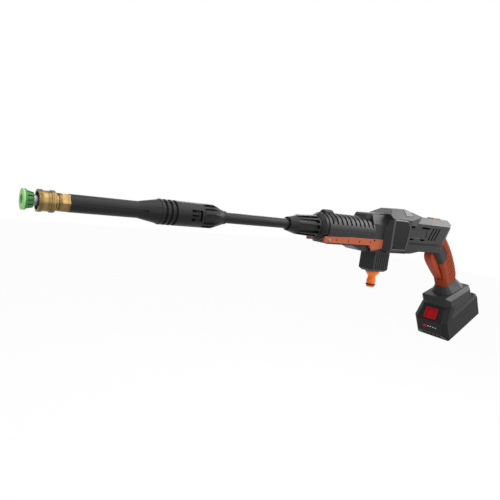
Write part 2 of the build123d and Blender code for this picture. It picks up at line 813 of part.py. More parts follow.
rear_lug_r = SPIGOT_REAR_R + LUG_RISE
rear_lug_front = rear_grip_rear + LUG_REAR_SETBACK
with BuildPart() as rear_collar:
    tip_rear = rear_grip_front + REAR_GRIP_TIP_LENGTH
    cone_rear = rear_grip_front + REAR_GRIP_CONE_LENGTH
    turned(
        [
            (rear_grip_front, 0),
            (rear_grip_front, REAR_GRIP_TIP_R),
            (tip_rear, REAR_GRIP_RIDGE_R),
            (cone_rear, REAR_GRIP_WAIST_R),
            (rear_grip_rear, REAR_GRIP_RIM_R),
            (rear_grip_rear, SPIGOT_REAR_R),
            (spigot_rear, SPIGOT_REAR_R),
            (spigot_rear, 0),
        ]
    )
    long_grooves(
        tip_rear + FLUTE_WIDTH / 2,
        rear_grip_rear - FLUTE_DEPTH,
        FLUTE_WIDTH,
        REAR_GRIP_RIDGE_R,
        REAR_GRIP_RIM_R,
        FLUTES,
    )
    lugs(rear_lug_front, rear_lug_front + LUG_LENGTH, LUG_WIDTH, 0, rear_lug_r)
    rear_floor_r = SPIGOT_REAR_R + SLIDE_GAP - 2 * SEAL_R
    turned(
        [
            (rear_seal_x - SEAL_R - SEAT_GAP, SPIGOT_REAR_R + CUT_OVER),
            (rear_seal_x - SEAL_R - SEAT_GAP, rear_floor_r - 2 * SEAT_GAP),
            (rear_seal_x + SEAL_R + SEAT_GAP, rear_floor_r - 2 * SEAT_GAP),
            (rear_seal_x + SEAL_R + SEAT_GAP, SPIGOT_REAR_R + CUT_OVER),
        ],
        Mode.SUBTRACT,
    )
    rod(rear_grip_front, spigot_rear, TUBE_BORE_R, Mode.SUBTRACT)
    rod(rear_grip_front, rear_tube_end, TUBE_R + SEAT_GAP, Mode.SUBTRACT)
save(rear_collar, "rear_collar")

with BuildPart() as rear_lance_seal:
    ring_seal(rear_seal_x, SPIGOT_REAR_R + SLIDE_GAP - SEAT_GAP - SEAL_R, SEAL_R)
save(rear_lance_seal, "rear_lance_seal")

# Gun collar that takes the lance, and the brass socket behind it
spigot_bore_r = SPIGOT_REAR_R + SLIDE_GAP
lug_bore_r = hypot(rear_lug_r, LUG_WIDTH / 2) + SLIDE_GAP
with BuildPart() as gun_collar:
    turned(
        [
            (nose_x, 0),
            (nose_x, COLLAR_FRONT_R),
            ((nose_x + barrel_front) / 2, COLLAR_R),
            (barrel_front, COLLAR_R),
            (barrel_front, COLLAR_TAIL_R),
            (socket_block_front, COLLAR_TAIL_R),
            (socket_block_front, 0),
        ]
    )
    rod(nose_x, socket_block_front, spigot_bore_r, Mode.SUBTRACT)
    lug_room_front = rear_lug_front - SEAM
    lug_room_rear = rear_lug_front + LUG_LENGTH + SEAM
    rod(lug_room_front, lug_room_rear, lug_bore_r, Mode.SUBTRACT)
    lugs(nose_x, lug_room_front, LUG_WIDTH + 2 * SLIDE_GAP, 0, lug_bore_r, Mode.SUBTRACT)
save(gun_collar, "gun_collar")

with BuildPart() as lance_socket:
    rod(socket_block_front, socket_block_rear, SOCKET_BLOCK_R)
    rod(socket_block_front, spigot_rear + SEAM, spigot_bore_r, Mode.SUBTRACT)
    rod(socket_block_front, socket_block_rear, TUBE_BORE_R, Mode.SUBTRACT)
    rod(socket_block_rear - OUTLET_SEAT, socket_block_rear, OUTLET_R + SEAT_GAP, Mode.SUBTRACT)
save(lance_socket, "lance_socket")

with BuildPart() as outlet_tube:
    rod(socket_block_rear - OUTLET_SEAT, pump_front + OUTLET_SEAT, OUTLET_R)
    rod(socket_block_rear - OUTLET_SEAT, pump_front + OUTLET_SEAT, TUBE_BORE_R, Mode.SUBTRACT)
save(outlet_tube, "outlet_tube")

# Pump
piston_front = pump_rear - PISTON_INSET
piston_rear = piston_front + PISTON_LENGTH
with BuildPart() as pump_head:
    rod(pump_front, pump_rear, PUMP_R)
    rod(pump_front, pump_front + OUTLET_SEAT, OUTLET_R + SEAT_GAP, Mode.SUBTRACT)
    rod(pump_front + OUTLET_SEAT, piston_front - CASE_WALL, TUBE_BORE_R, Mode.SUBTRACT)
    with BuildSketch(across(pump_rear)) as piston_bores:
        with PolarLocations(PISTON_CIRCLE_R, PISTONS):
            Circle(PISTON_R + SEAT_GAP)
    extrude(piston_bores.sketch, amount=-PISTON_INSET - SEAM, mode=Mode.SUBTRACT)
    chamfer(pump_head.edges().filter_by(GeomType.CIRCLE).sort_by(SortBy.RADIUS)[-2:], length=SEAM)
save(pump_head, "pump_head")

with BuildPart() as pump_pistons:
    with BuildSketch(across(piston_front)) as piston_rods:
        with PolarLocations(PISTON_CIRCLE_R, PISTONS):
            Circle(PISTON_R)
    extrude(piston_rods.sketch, amount=PISTON_LENGTH)
    with BuildSketch(across(piston_rear)) as piston_heads:
        with PolarLocations(PISTON_CIRCLE_R, PISTONS):
            Circle(PISTON_HEAD_R)
    extrude(piston_heads.sketch, amount=-PISTON_HEAD_LENGTH)
save(pump_pistons, "pump_pistons")

# Drive: swash plate, motor and fan on one shaft
swash_rise = SWASH_R * sin(radians(SWASH_TILT))
swash_front = piston_rear + SLIDE_GAP
swash_rear = swash_front + 2 * swash_rise + SWASH_THICK
motor_front = BLOCK_FRONT + MOTOR_PLATE
motor_rear = motor_front + MOTOR_LENGTH
rotor_front = (motor_front + motor_rear - ROTOR_LENGTH) / 2
fan_front = motor_rear + MOTOR_PLATE + SEAM
fan_rear = fan_front + FAN_WIDTH
with BuildPart() as swash_plate:
    slab(
        side,
        [
            (swash_front, -SWASH_R),
            (swash_front + 2 * swash_rise, SWASH_R),
            (swash_rear, SWASH_R),
            (swash_rear, -SWASH_R),
        ],
        SWASH_R,
    )
    with BuildSketch(across(swash_front)) as swash_round:
        Circle(SWASH_R)
    extrude(swash_round.sketch, amount=swash_rear - swash_front, mode=Mode.INTERSECT)
    rod(swash_front, swash_rear, SHAFT_R + SEAT_GAP, Mode.SUBTRACT)
save(swash_plate, "swash_plate")

with BuildPart() as motor_rotor:
    rod(rotor_front, rotor_front + ROTOR_LENGTH, ROTOR_R)
    for index in range(ROTOR_SLOTS):
        with BuildSketch(tangent(index * 360 / ROTOR_SLOTS, ROTOR_R - ROTOR_SLOT_DEPTH)) as slot:
            with Locations((rotor_front + ROTOR_LENGTH / 2, 0)):
                Rectangle(ROTOR_LENGTH, ROTOR_SLOT_WIDTH)
        extrude(slot.sketch, amount=ROTOR_SLOT_DEPTH + CUT_OVER, mode=Mode.SUBTRACT)
    rod(swash_rear - SWASH_THICK, fan_rear, SHAFT_R)
save(motor_rotor, "motor_rotor")

with BuildPart() as motor_can:
    rod(motor_front, motor_rear, MOTOR_R)
    rod(motor_front, motor_rear, MOTOR_R - MOTOR_WALL, Mode.SUBTRACT)
save(motor_can, "motor_can")

with BuildPart() as motor_magnets:
    magnet_r = MOTOR_R - MOTOR_WALL - SEAT_GAP
    rod(rotor_front, rotor_front + ROTOR_LENGTH, magnet_r)
    rod(rotor_front, rotor_front + ROTOR_LENGTH, magnet_r - MAGNET_THICK, Mode.SUBTRACT)
    block(
        side,
        rotor_front,
        rotor_front + ROTOR_LENGTH,
        -magnet_r / 3,
        magnet_r / 3,
        magnet_r + CUT_OVER,
        Mode.SUBTRACT,
    )
save(motor_magnets, "motor_magnets")

motor_plates = {"motor_bracket": BLOCK_FRONT, "motor_end_cap": motor_rear}
for plate_name, plate_x in motor_plates.items():
    with BuildPart() as motor_plate:
        rod(plate_x, plate_x + MOTOR_PLATE, MOTOR_R)
        rod(plate_x, plate_x + MOTOR_PLATE, BEARING_R + SEAT_GAP, Mode.SUBTRACT)
    save(motor_plate, plate_name)

with BuildPart() as motor_bearings:
    for plate_x in motor_plates.values():
        turned(
            [
                (plate_x, SHAFT_R + SEAT_GAP),
                (plate_x, BEARING_R),
                (plate_x + MOTOR_PLATE, BEARING_R),
                (plate_x + MOTOR_PLATE, SHAFT_R + SEAT_GAP),
            ]
        )
save(motor_bearings, "motor_bearings")

with BuildPart() as cooling_fan:
    rod(fan_front, fan_rear, FAN_HUB_R)
    rod(fan_front, fan_front + FAN_BLADE_THICK, FAN_R)
    for index in range(FAN_BLADES):
        with BuildSketch(tangent(index * 360 / FAN_BLADES, FAN_HUB_R - FAN_BLADE_THICK)) as blade:
            with Locations(((fan_front + fan_rear) / 2, 0)):
                Rectangle(FAN_WIDTH, FAN_BLADE_THICK)
        extrude(blade.sketch, amount=FAN_R - FAN_HUB_R)
    rod(fan_front, fan_rear, SHAFT_R + SEAT_GAP, Mode.SUBTRACT)
save(cooling_fan, "cooling_fan")

# Grip solids shared by the case halves and the soft cover
grip_sections = [
    (0, GRIP_LOW_SHIFT, GRIP_LOW_DEPTH, GRIP_LOW_HALF),
    (GRIP_MID_UP, GRIP_MID_SHIFT, GRIP_MID_DEPTH, GRIP_MID_HALF),
    (GRIP_TOP_UP, GRIP_TOP_SHIFT, GRIP_TOP_DEPTH, GRIP_TOP_HALF),
]


def grip_round(depth, half):
    # Section of the grip: flat front and back with large round corners
    RectangleRounded(2 * depth, 2 * half, half - GRIP_FLAT)


def grip_loft(inset):
    with BuildPart() as handle:
        for up, shift, depth, half in grip_sections:
            with BuildSketch(foot.offset(up)):
                with Locations((shift, 0)):
                    grip_round(depth - inset, half - inset)
        loft()
    return handle.part


grip_outer = grip_loft(0)
grip_core = grip_loft(GRIP_SKIN)
switch_rear = SWITCH_FRONT + SWITCH_LENGTH
switch_top_up = SWITCH_LOW_UP + SWITCH_HEIGHT
blade_half = TRIGGER_HALF + TRIGGER_GAP
pin_half = blade_half + PIN_SEAT
room_top_up = TRIGGER_TOP_UP + TRIGGER_TOE_R + CUT_OVER
room_low_up = TRIGGER_FOOT_UP - SLIDE_GAP - SEAM
room_front = TRIGGER_BROW_ALONG - SEAM - SLIDE_GAP
room_rear = PIVOT_ALONG + TRIGGER_TOE_R + SLIDE_GAP


def cut_trigger_rooms():
    # Rooms in the grip for the trigger and the switch
    block(foot_side, room_front, room_rear, room_low_up, room_top_up, blade_half, Mode.SUBTRACT)
    block(
        foot_side,
        SWITCH_FRONT,
        switch_rear + SEAT_GAP,
        SWITCH_LOW_UP - SEAT_GAP,
        switch_top_up + SEAT_GAP,
        SWITCH_HALF + SEAT_GAP,
        Mode.SUBTRACT,
    )


# Bare round patch of the case behind the trigger
patch_rear = PATCH_ALONG + PATCH_R
with BuildSketch(foot_side) as patch_face:
    with Locations((PATCH_ALONG, PATCH_UP)):
        Circle(PATCH_R)
    with BuildLine():
        Polyline(
            (room_front, PATCH_UP),
            (room_front, GRIP_TOP_UP),
            (PATCH_ALONG, GRIP_TOP_UP),
            (patch_rear - SEAM, PATCH_UP),
            close=True,
        )
    make_face()
with BuildPart() as grip_patch:
    add(grip_outer)
    extrude(patch_face.sketch, amount=GRIP_TOP_HALF, both=True, mode=Mode.INTERSECT)

# Case: pump barrel, chin, neck, motor block, rear body and grip core, split down the middle
with BuildPart() as motor_block:
    with BuildSketch(across(BLOCK_FRONT)):
        with BuildLine():
            Polyline(
                (BLOCK_HALF, BLOCK_SHOULDER),
                (BLOCK_HALF, BLOCK_BEVEL - BELLY_DROP),
                (BLOCK_HALF - BLOCK_BEVEL, -BELLY_DROP),
                (BLOCK_BEVEL - BLOCK_HALF, -BELLY_DROP),
                (-BLOCK_HALF, BLOCK_BEVEL - BELLY_DROP),
                (-BLOCK_HALF, BLOCK_SHOULDER),
                close=True,
            )
        make_face()
    extrude(amount=BLOCK_REAR - BLOCK_FRONT)

block_nose_x = BLOCK_FRONT - BLOCK_NOSE
with BuildPart() as block_nose:
    with BuildSketch(across(block_nose_x)):
        with Locations((0, (ROOF_EAVE - BELLY_DROP) / 2)):
            Rectangle(2 * RAIL_OUT, ROOF_EAVE + BELLY_DROP - BLOCK_BEVEL)
    with BuildSketch(across(BLOCK_FRONT)):
        with Locations((0, (BLOCK_SHOULDER - BELLY_DROP) / 2)):
            Rectangle(2 * BLOCK_HALF, BLOCK_SHOULDER + BELLY_DROP - BLOCK_BEVEL)
    loft()

with BuildPart() as hump:
    plan_points = [
        (BLOCK_FRONT, BLOCK_HALF),
        (BLOCK_REAR, BLOCK_HALF),
        (HUMP_TAPER_END, REAR_HALF),
        (HUMP_END, (REAR_HALF + REAR_TOP_HALF) / 2),
    ]
    plan_points += [(x, -y) for x, y in reversed(plan_points)]
    plan_plane = Plane(origin=(0, 0, BARREL_Z + HUMP_BASE), x_dir=(1, 0, 0), z_dir=(0, 0, 1))
    extrude(polygon(plan_plane, plan_points), amount=HUMP_REAR_TOP - HUMP_BASE)
    section_points = [
        (BLOCK_HALF, 0),
        (BLOCK_HALF, BLOCK_SHOULDER),
        (HUMP_HALF, HUMP_REAR_TOP),
        (-HUMP_HALF, HUMP_REAR_TOP),
        (-BLOCK_HALF, BLOCK_SHOULDER),
        (-BLOCK_HALF, 0),
    ]
    hump_section = polygon(across(BLOCK_FRONT), section_points)
    extrude(hump_section, amount=HUMP_END - BLOCK_FRONT, mode=Mode.INTERSECT)
    slab(
        side,
        [
            (BLOCK_FRONT, 0),
            (BLOCK_FRONT, ROOF_REAR_TOP),
            (HUMP_FRONT, HUMP_FRONT_TOP),
            (HUMP_REAR, HUMP_REAR_TOP),
            (HUMP_END, REAR_TOP),
            (HUMP_TAPER_END, HUMP_BASE),
            (BLOCK_REAR, 0),
        ],
        BLOCK_HALF,
        Mode.INTERSECT,
    )

rear_lean = (REAR_SLANT, 0, 1)
rear_front = BLOCK_FRONT + MOTOR_PLATE
rear_floor_x = REAR_END - REAR_SLANT * (REAR_END_HEIGHT + BELLY_DROP)
with BuildPart() as rear_body:
    floor_plane = Plane(origin=(0, 0, BARREL_Z - BELLY_DROP), x_dir=(1, 0, 0), z_dir=(0, 0, 1))
    with BuildSketch(floor_plane) as rear_plan:
        with Locations(((rear_front + rear_floor_x) / 2, 0)):
            Rectangle(rear_floor_x - rear_front, 2 * REAR_HALF)
        fillet(rear_plan.vertices().group_by(Axis.X)[-1], radius=REAR_ROUND)
    extrude(rear_plan.sketch, amount=(BELLY_DROP + REAR_TOP) * hypot(1, REAR_SLANT), dir=rear_lean)
    rear_section = [
        (REAR_TOP_HALF, REAR_TOP),
        (REAR_HALF, REAR_SHOULDER),
        (REAR_HALF, -REAR_LEDGE),
        (REAR_LOW_HALF, REAR_LOW_HALF - REAR_HALF - REAR_LEDGE),
        (REAR_LOW_HALF, -BELLY_DROP),
    ]
    rear_section += [(-y, z) for y, z in reversed(rear_section)]
    extrude(
        polygon(across(rear_front), rear_section),
        amount=REAR_END + REAR_HALF,
        mode=Mode.INTERSECT,
    )
    slab(
        side,
        [
            (rear_front, -BELLY_DROP),
            (BELLY_STEP_FRONT, -BELLY_DROP),
            (BELLY_STEP_REAR, -REAR_BOTTOM),
            (REAR_END, -REAR_BOTTOM),
            (REAR_END, REAR_END_HEIGHT),
            (REAR_END - REAR_CREST, REAR_TOP),
            (rear_front, REAR_TOP),
        ],
        REAR_HALF,
        Mode.INTERSECT,
    )

inlet_bottom = BARREL_Z - INLET_BOTTOM_DROP
inlet_top = BARREL_Z - BELLY_DROP
filter_low = inlet_bottom + NIPPLE_STEM_LENGTH
inlet_route = [
    (0, filter_low + FILTER_LENGTH + SEAM - BARREL_Z),
    (0, -INLET_RUN_DROP),
    (pump_rear - INLET_TAP, -INLET_RUN_DROP),
    (pump_rear - INLET_TAP, -PUMP_R - SEAT_GAP),
]
release_front = barrel_front + RELEASE_SETBACK
release_rear = release_front + RELEASE_LENGTH
flange_top = RELEASE_SHOULDER - SLIDE_GAP
release_floor = flange_top - RELEASE_FLANGE_HEIGHT - RELEASE_TRAVEL - SLIDE_GAP
mode_rear = MODE_FRONT + MODE_LENGTH
release_half = RELEASE_WIDTH / 2
mode_half = MODE_WIDTH / 2
cavity_half = REAR_HALF - CASE_WALL
cavity_rear = rear_floor_x - CAVITY_REAR_WALL
with BuildPart() as case:
    rod(barrel_front, barrel_rear, BARREL_R)
    vent_angle = 90 - degrees(asin(VENT_LOW / BARREL_R))
    for index in range(VENT_COUNT):
        vent_x = barrel_front + VENT_FRONT_MARGIN + index * VENT_PITCH
        vent_section = [
            (vent_x, BARREL_R - VENT_DEPTH),
            (vent_x + VENT_WIDTH, BARREL_R - VENT_DEPTH),
            (vent_x + VENT_WIDTH, BARREL_R + CUT_OVER),
            (vent_x, BARREL_R + CUT_OVER),
        ]
        revolve(
            polygon(radial(-vent_angle), vent_section),
            axis=barrel,
            revolution_arc=2 * vent_angle,
            mode=Mode.SUBTRACT,
        )
    for facing in (-1, 1):
        stripe_plane = Plane(
            origin=(0, facing * (BARREL_R - STRIPE_DEPTH), BARREL_Z), x_dir=(1, 0, 0), z_dir=(0, -1, 0)
        )
        for index in range(STRIPES):
            with BuildSketch(stripe_plane) as stripe:
                with Locations(((barrel_front + barrel_rear) / 2, -STRIPE_DROP - index * STRIPE_PITCH)):
                    Rectangle(BARREL_LENGTH - 2 * VENT_FRONT_MARGIN, STRIPE_HEIGHT)
            extrude(stripe.sketch, amount=-facing * BARREL_R, mode=Mode.SUBTRACT)
    slab(
        side,
        [
            (barrel_front, 0),
            (barrel_front, CHIN_BEVEL - CHIN_DROP),
            (barrel_front + CHIN_BEVEL, -CHIN_DROP),
            (-CHIN_SLOPE_FRONT, -CHIN_DROP),
            (-CHIN_SLOPE_REAR, -BELLY_DROP),
            (0, -BELLY_DROP),
            (0, 0),
        ],
        CHIN_HALF,
    )
    block(side, barrel_rear - CASE_WALL, 0, -BELLY_DROP, ROOF_EAVE, NECK_HALF)
    slab(
        side,
        [
            (-ROOF_FRONT_REACH, BARREL_R - CASE_WALL),
            (CASE_WALL - ROOF_FRONT_REACH, ROOF_FRONT_TOP - CASE_WALL),
            (2 * CASE_WALL - ROOF_FRONT_REACH, ROOF_FRONT_TOP),
            (BLOCK_FRONT, ROOF_REAR_TOP),
            (0, ROOF_REAR_TOP),
            (0, BARREL_R - CASE_WALL),
        ],
        ROOF_HALF,
    )
    shoulder_section = [(NECK_HALF, 0), (NECK_HALF, ROOF_EAVE), (ROOF_HALF, ROOF_FRONT_TOP)]
    shoulder_section += [(-y, z) for y, z in reversed(shoulder_section)]
    shoulder = polygon(across(barrel_rear - CASE_WALL), shoulder_section)
    extrude(shoulder, amount=BLOCK_FRONT - barrel_rear + CASE_WALL)
    add(block_nose.part)
    add(motor_block.part)
    add(hump.part)
    add(rear_body.part)
    add(grip_core)
    add(grip_patch.part)
    # Bores for the collar, socket, pump, swash plate, motor and fan
    rod(barrel_front, socket_block_front, COLLAR_TAIL_R + SEAT_GAP, Mode.SUBTRACT)
    rod(socket_block_front, socket_block_rear, SOCKET_BLOCK_R + SEAT_GAP, Mode.SUBTRACT)
    rod(socket_block_rear, barrel_rear, PUMP_R + SEAT_GAP, Mode.SUBTRACT)
    rod(barrel_rear, BLOCK_FRONT, NECK_BORE_R, Mode.SUBTRACT)
    rod(BLOCK_FRONT, fan_rear + SEAM, MOTOR_R + SEAT_GAP, Mode.SUBTRACT)
    block(side, motor_rear, cavity_rear, -CAVITY_LOW, CAVITY_TOP - CASE_WALL, REAR_TOP_HALF, Mode.SUBTRACT)
    block(side, motor_rear, cavity_rear, -CAVITY_LOW, REAR_SHOULDER, cavity_half, Mode.SUBTRACT)
    cut_trigger_rooms()
    # Pocket of the release button
    block(
        side,
        release_front - SLIDE_GAP,
        release_rear + SLIDE_GAP,
        release_floor,
        BARREL_R + CUT_OVER,
        release_half + SLIDE_GAP,
        Mode.SUBTRACT,
    )
    block(
        side,
        release_front - SLIDE_GAP,
        release_rear + SLIDE_GAP,
        release_floor,
        RELEASE_SHOULDER,
        release_half + RELEASE_FLANGE + SLIDE_GAP,
        Mode.SUBTRACT,
    )
    # Opening of the mode button
    block(
        side,
        MODE_FRONT - SLIDE_GAP,
        mode_rear + SLIDE_GAP,
        CAVITY_TOP - 2 * CASE_WALL,
        REAR_TOP + CUT_OVER,
        mode_half + SLIDE_GAP,
        Mode.SUBTRACT,
    )
    # Cooling vents through both sides of the rear body
    for row_z, last_length in ((SIDE_VENT_UP, SIDE_VENT_LONG), (-SIDE_VENT_DOWN, SIDE_VENT_LENGTH)):
        for index in range(SIDE_VENTS):
            vent_start = SIDE_VENT_FRONT + index * SIDE_VENT_PITCH
            vent_length = last_length if index == SIDE_VENTS - 1 else SIDE_VENT_LENGTH
            with BuildSketch(side) as side_vent:
                with Locations((vent_start + vent_length / 2, row_z)):
                    Rectangle(vent_length, SIDE_VENT_HEIGHT)
            extrude(side_vent.sketch, amount=REAR_HALF + CUT_OVER, mode=Mode.SUBTRACT)
    dish_low = SIDE_VENT_HEIGHT / 2 + SIDE_DISH_MARGIN - SIDE_VENT_DOWN
    dish_high = SIDE_VENT_UP - SIDE_VENT_HEIGHT / 2 - SIDE_DISH_MARGIN
    dish_rear = SLOT_FRONT - SLOT_WIDTH
    for facing in (-1, 1):
        dish_plane = Plane(
            origin=(0, facing * (REAR_HALF - SIDE_DISH), BARREL_Z), x_dir=(1, 0, 0), z_dir=(0, -1, 0)
        )
        with BuildSketch(dish_plane) as side_dish:
            with Locations(((SIDE_VENT_FRONT + dish_rear) / 2, (dish_low + dish_high) / 2)):
                Rectangle(dish_rear - SIDE_VENT_FRONT, dish_high - dish_low)
        extrude(side_dish.sketch, amount=-facing * CASE_WALL, mode=Mode.SUBTRACT)
    for index in range(SLOT_COUNT):
        slot_x = SLOT_FRONT + index * SLOT_PITCH
        slab(
            side,
            [
                (slot_x, -SIDE_VENT_DOWN),
                (slot_x + SLOT_WIDTH, -SIDE_VENT_DOWN),
                (slot_x + SLOT_WIDTH + SLOT_LEAN, SIDE_VENT_UP + SIDE_VENT_HEIGHT / 2),
                (slot_x + SLOT_LEAN, SIDE_VENT_UP + SIDE_VENT_HEIGHT / 2),
            ],
            REAR_HALF + CUT_OVER,
            Mode.SUBTRACT,
        )
    # Seat of the side panel
    panel_rear = PANEL_FRONT + PANEL_LENGTH
    panel_seat = Plane(origin=(0, -BLOCK_HALF, BARREL_Z), x_dir=(1, 0, 0), z_dir=(0, -1, 0))
    with BuildSketch(panel_seat.offset(-PANEL_SINK)) as panel_outline:
        with BuildLine():
            Polyline(
                (PANEL_FRONT, -PANEL_BOTTOM),
                (PANEL_FRONT, PANEL_TOP),
                (panel_rear, PANEL_TOP),
                (panel_rear, 0),
                (panel_rear - PANEL_LEAN, -PANEL_BOTTOM),
                close=True,
            )
        make_face()
        fillet(panel_outline.vertices().group_by(Axis.X)[0], radius=PANEL_CORNER)
        fillet(panel_outline.vertices().group_by(Axis.Z)[-1].sort_by(Axis.X)[-1:], radius=PANEL_ROUND)
    extrude(panel_outline.sketch, amount=PANEL_SINK + CUT_OVER, mode=Mode.SUBTRACT)
    # Way for the inlet tube and the trigger pin
    pipe_along(inlet_route, INLET_TUBE_R + SEAT_GAP, Mode.SUBTRACT)
    with BuildSketch(foot_side) as pin_way:
        with Locations((PIVOT_ALONG, PIVOT_UP)):
            Circle(PIN_R + SEAT_GAP)
    extrude(pin_way.sketch, amount=pin_half, both=True, mode=Mode.SUBTRACT)

for side_name, kept in (("left", Keep.TOP), ("right", Keep.BOTTOM)):
    with BuildPart() as case_half:
        add(case.part)
        split(bisect_by=Plane.XZ, keep=kept)
    save(case_half, f"case_{side_name}")

with BuildPart() as side_panel:
    extrude(panel_outline.sketch, amount=PANEL_THICK)
    chamfer(side_panel.faces().sort_by(Axis.Y)[0].edges(), length=PANEL_BEVEL)
    with BuildSketch(panel_seat.offset(PANEL_THICK - PANEL_SINK - PANEL_DISH)) as panel_dish:
        add(panel_outline.sketch_local)
        offset(amount=-PANEL_RIM, kind=Kind.INTERSECTION, mode=Mode.REPLACE)
    extrude(panel_dish.sketch, amount=PANEL_THICK, mode=Mode.SUBTRACT)
save(side_panel, "side_panel")

# Soft grip cover, open at the trigger and round the case patch
with BuildPart() as grip_cover:
    add(grip_outer)
    add(grip_core, mode=Mode.SUBTRACT)
    extrude(patch_face.sketch, amount=GRIP_TOP_HALF, both=True, mode=Mode.SUBTRACT)
    cut_trigger_rooms()
    add(rear_body.part, mode=Mode.SUBTRACT)
save(grip_cover, "grip_cover")

# Soft strip up the back of the body
with BuildPart() as rear_pad:
    with Locations((PAD_THICK, 0, 0)):
        add(rear_body.part)
    add(rear_body.part, mode=Mode.SUBTRACT)
    add(grip_outer, mode=Mode.SUBTRACT)
    block(
        side,
        rear_floor_x,
        REAR_END + PAD_THICK,
        CASE_WALL - REAR_BOTTOM,
        REAR_END_HEIGHT,
        PAD_HALF,
        Mode.INTERSECT,
    )
save(rear_pad, "rear_pad")

# Trigger and what it works
toe = (PIVOT_ALONG, PIVOT_UP)
with BuildPart() as trigger:
    with BuildSketch(foot_side) as blade_face:
        with BuildLine():
            Spline(
                (TRIGGER_FOOT_ALONG, TRIGGER_FOOT_UP),
                (TRIGGER_KNEE_ALONG, TRIGGER_KNEE_UP),
                (TRIGGER_BELLY_ALONG, TRIGGER_BELLY_UP),
                (TRIGGER_BROW_ALONG, TRIGGER_BROW_UP),
                (TRIGGER_TOP_ALONG, TRIGGER_TOP_UP),
            )
            Polyline(
                (TRIGGER_TOP_ALONG, TRIGGER_TOP_UP),
                (TRIGGER_BACK_ALONG, TRIGGER_TOP_UP - TRIGGER_BACK_DROP),
                (PIVOT_ALONG + TRIGGER_TOE_R / 2, PIVOT_UP + TRIGGER_TOE_R / 2),
                toe,
                (TRIGGER_FOOT_ALONG, TRIGGER_FOOT_UP),
            )
        make_face()
    extrude(blade_face.sketch, amount=TRIGGER_HALF, both=True)
    with BuildSketch(foot_side) as toe_face:
        with Locations(toe):
            Circle(TRIGGER_TOE_R)
    extrude(toe_face.sketch, amount=TRIGGER_HALF, both=True)
    with BuildSketch(foot_side) as trigger_hole:
        with Locations(toe):
            Circle(PIN_R + PIN_RUN)
    extrude(trigger_hole.sketch, amount=TRIGGER_HALF, both=True, mode=Mode.SUBTRACT)
save(trigger, "trigger")

with BuildPart() as trigger_pin:
    with BuildSketch(foot_side) as pin_face:
        with Locations(toe):
            Circle(PIN_R)
    extrude(pin_face.sketch, amount=pin_half, both=True)
save(trigger_pin, "trigger_pin")

with BuildPart() as trigger_switch:
    block(foot_side, SWITCH_FRONT, switch_rear, SWITCH_LOW_UP, switch_top_up, SWITCH_HALF)
    plunger_up = SWITCH_LOW_UP + SWITCH_HEIGHT * 2 / 3
    plunger_plane = Plane(
        origin=foot_side.from_local_coords((SWITCH_FRONT, plunger_up, 0)),
        z_dir=(-along_dir[0], 0, -along_dir[2]),
    )
    with BuildSketch(plunger_plane) as plunger_face:
        Circle(PLUNGER_R)
    extrude(plunger_face.sketch, amount=PLUNGER_REACH)
save(trigger_switch, "trigger_switch")

# Side rails
rail_outline = [
    (rail_front, -RAIL_BOTTOM),
    (rail_front, -RAIL_TOP_FRONT),
    (-RAIL_REAR_REACH, -RAIL_TOP_REAR),
    (-RAIL_REAR_REACH, -PADDLE_REAR_DROP),
    (-PADDLE_TIP_REACH, -PADDLE_DROP),
    (-PADDLE_FRONT_REACH, -RAIL_BOTTOM),
]
for side_name, facing in (("left", -1), ("right", 1)):
    with BuildPart() as rail:
        rail_plane = Plane(origin=(0, facing * CHIN_HALF, BARREL_Z), x_dir=(1, 0, 0), z_dir=(0, -1, 0))
        extrude(polygon(rail_plane, rail_outline), amount=-facing * (RAIL_OUT - CHIN_HALF))
        slot_plane = Plane(origin=(0, facing * RAIL_OUT, BARREL_Z), x_dir=(1, 0, 0), z_dir=(0, -1, 0))
        rail_mid = -(RAIL_TOP_FRONT + RAIL_BOTTOM) / 2
        for index in range(RAIL_SLOTS):
            slot_x = -PADDLE_FRONT_REACH - index * RAIL_SLOT_PITCH
            with BuildSketch(slot_plane) as rail_slot:
                with Locations((slot_x, rail_mid)):
                    Rectangle(RAIL_SLOT_LENGTH, RAIL_SLOT_HEIGHT)
            extrude(rail_slot.sketch, amount=facing * RAIL_SLOT_DEPTH, mode=Mode.SUBTRACT)
        rod(rail_front, 0, BARREL_R + SEAT_GAP, Mode.SUBTRACT)
        add(case.part, mode=Mode.SUBTRACT)
    save(rail, f"rail_{side_name}")

# Buttons on the gun
with BuildPart() as release_button:
    block(side, release_front, release_rear, flange_top, RELEASE_TOP, release_half)
    crown = release_button.faces().sort_by(Axis.Z)[-1].edges()
    fillet(crown, radius=RELEASE_ROUND)
    flange_half = release_half + RELEASE_FLANGE
    block(side, release_front, release_rear, flange_top - RELEASE_FLANGE_HEIGHT, flange_top, flange_half)
save(release_button, "release_button")

with BuildPart() as mode_button:
    mode_low = CAVITY_TOP - CASE_WALL - SLIDE_GAP
    block(side, MODE_FRONT, mode_rear, mode_low, REAR_TOP + MODE_RISE, mode_half)
    fillet(mode_button.faces().sort_by(Axis.Z)[-1].edges(), radius=MODE_RISE / 2)
save(mode_button, "mode_button")

# Electronics in the rear body
board_half = cavity_half - SLIDE_GAP
with BuildPart() as control_board:
    block(side, BOARD_FRONT, BOARD_FRONT + BOARD_LENGTH, BOARD_UP - BOARD_THICK, BOARD_UP, board_half)
save(control_board, "control_board")

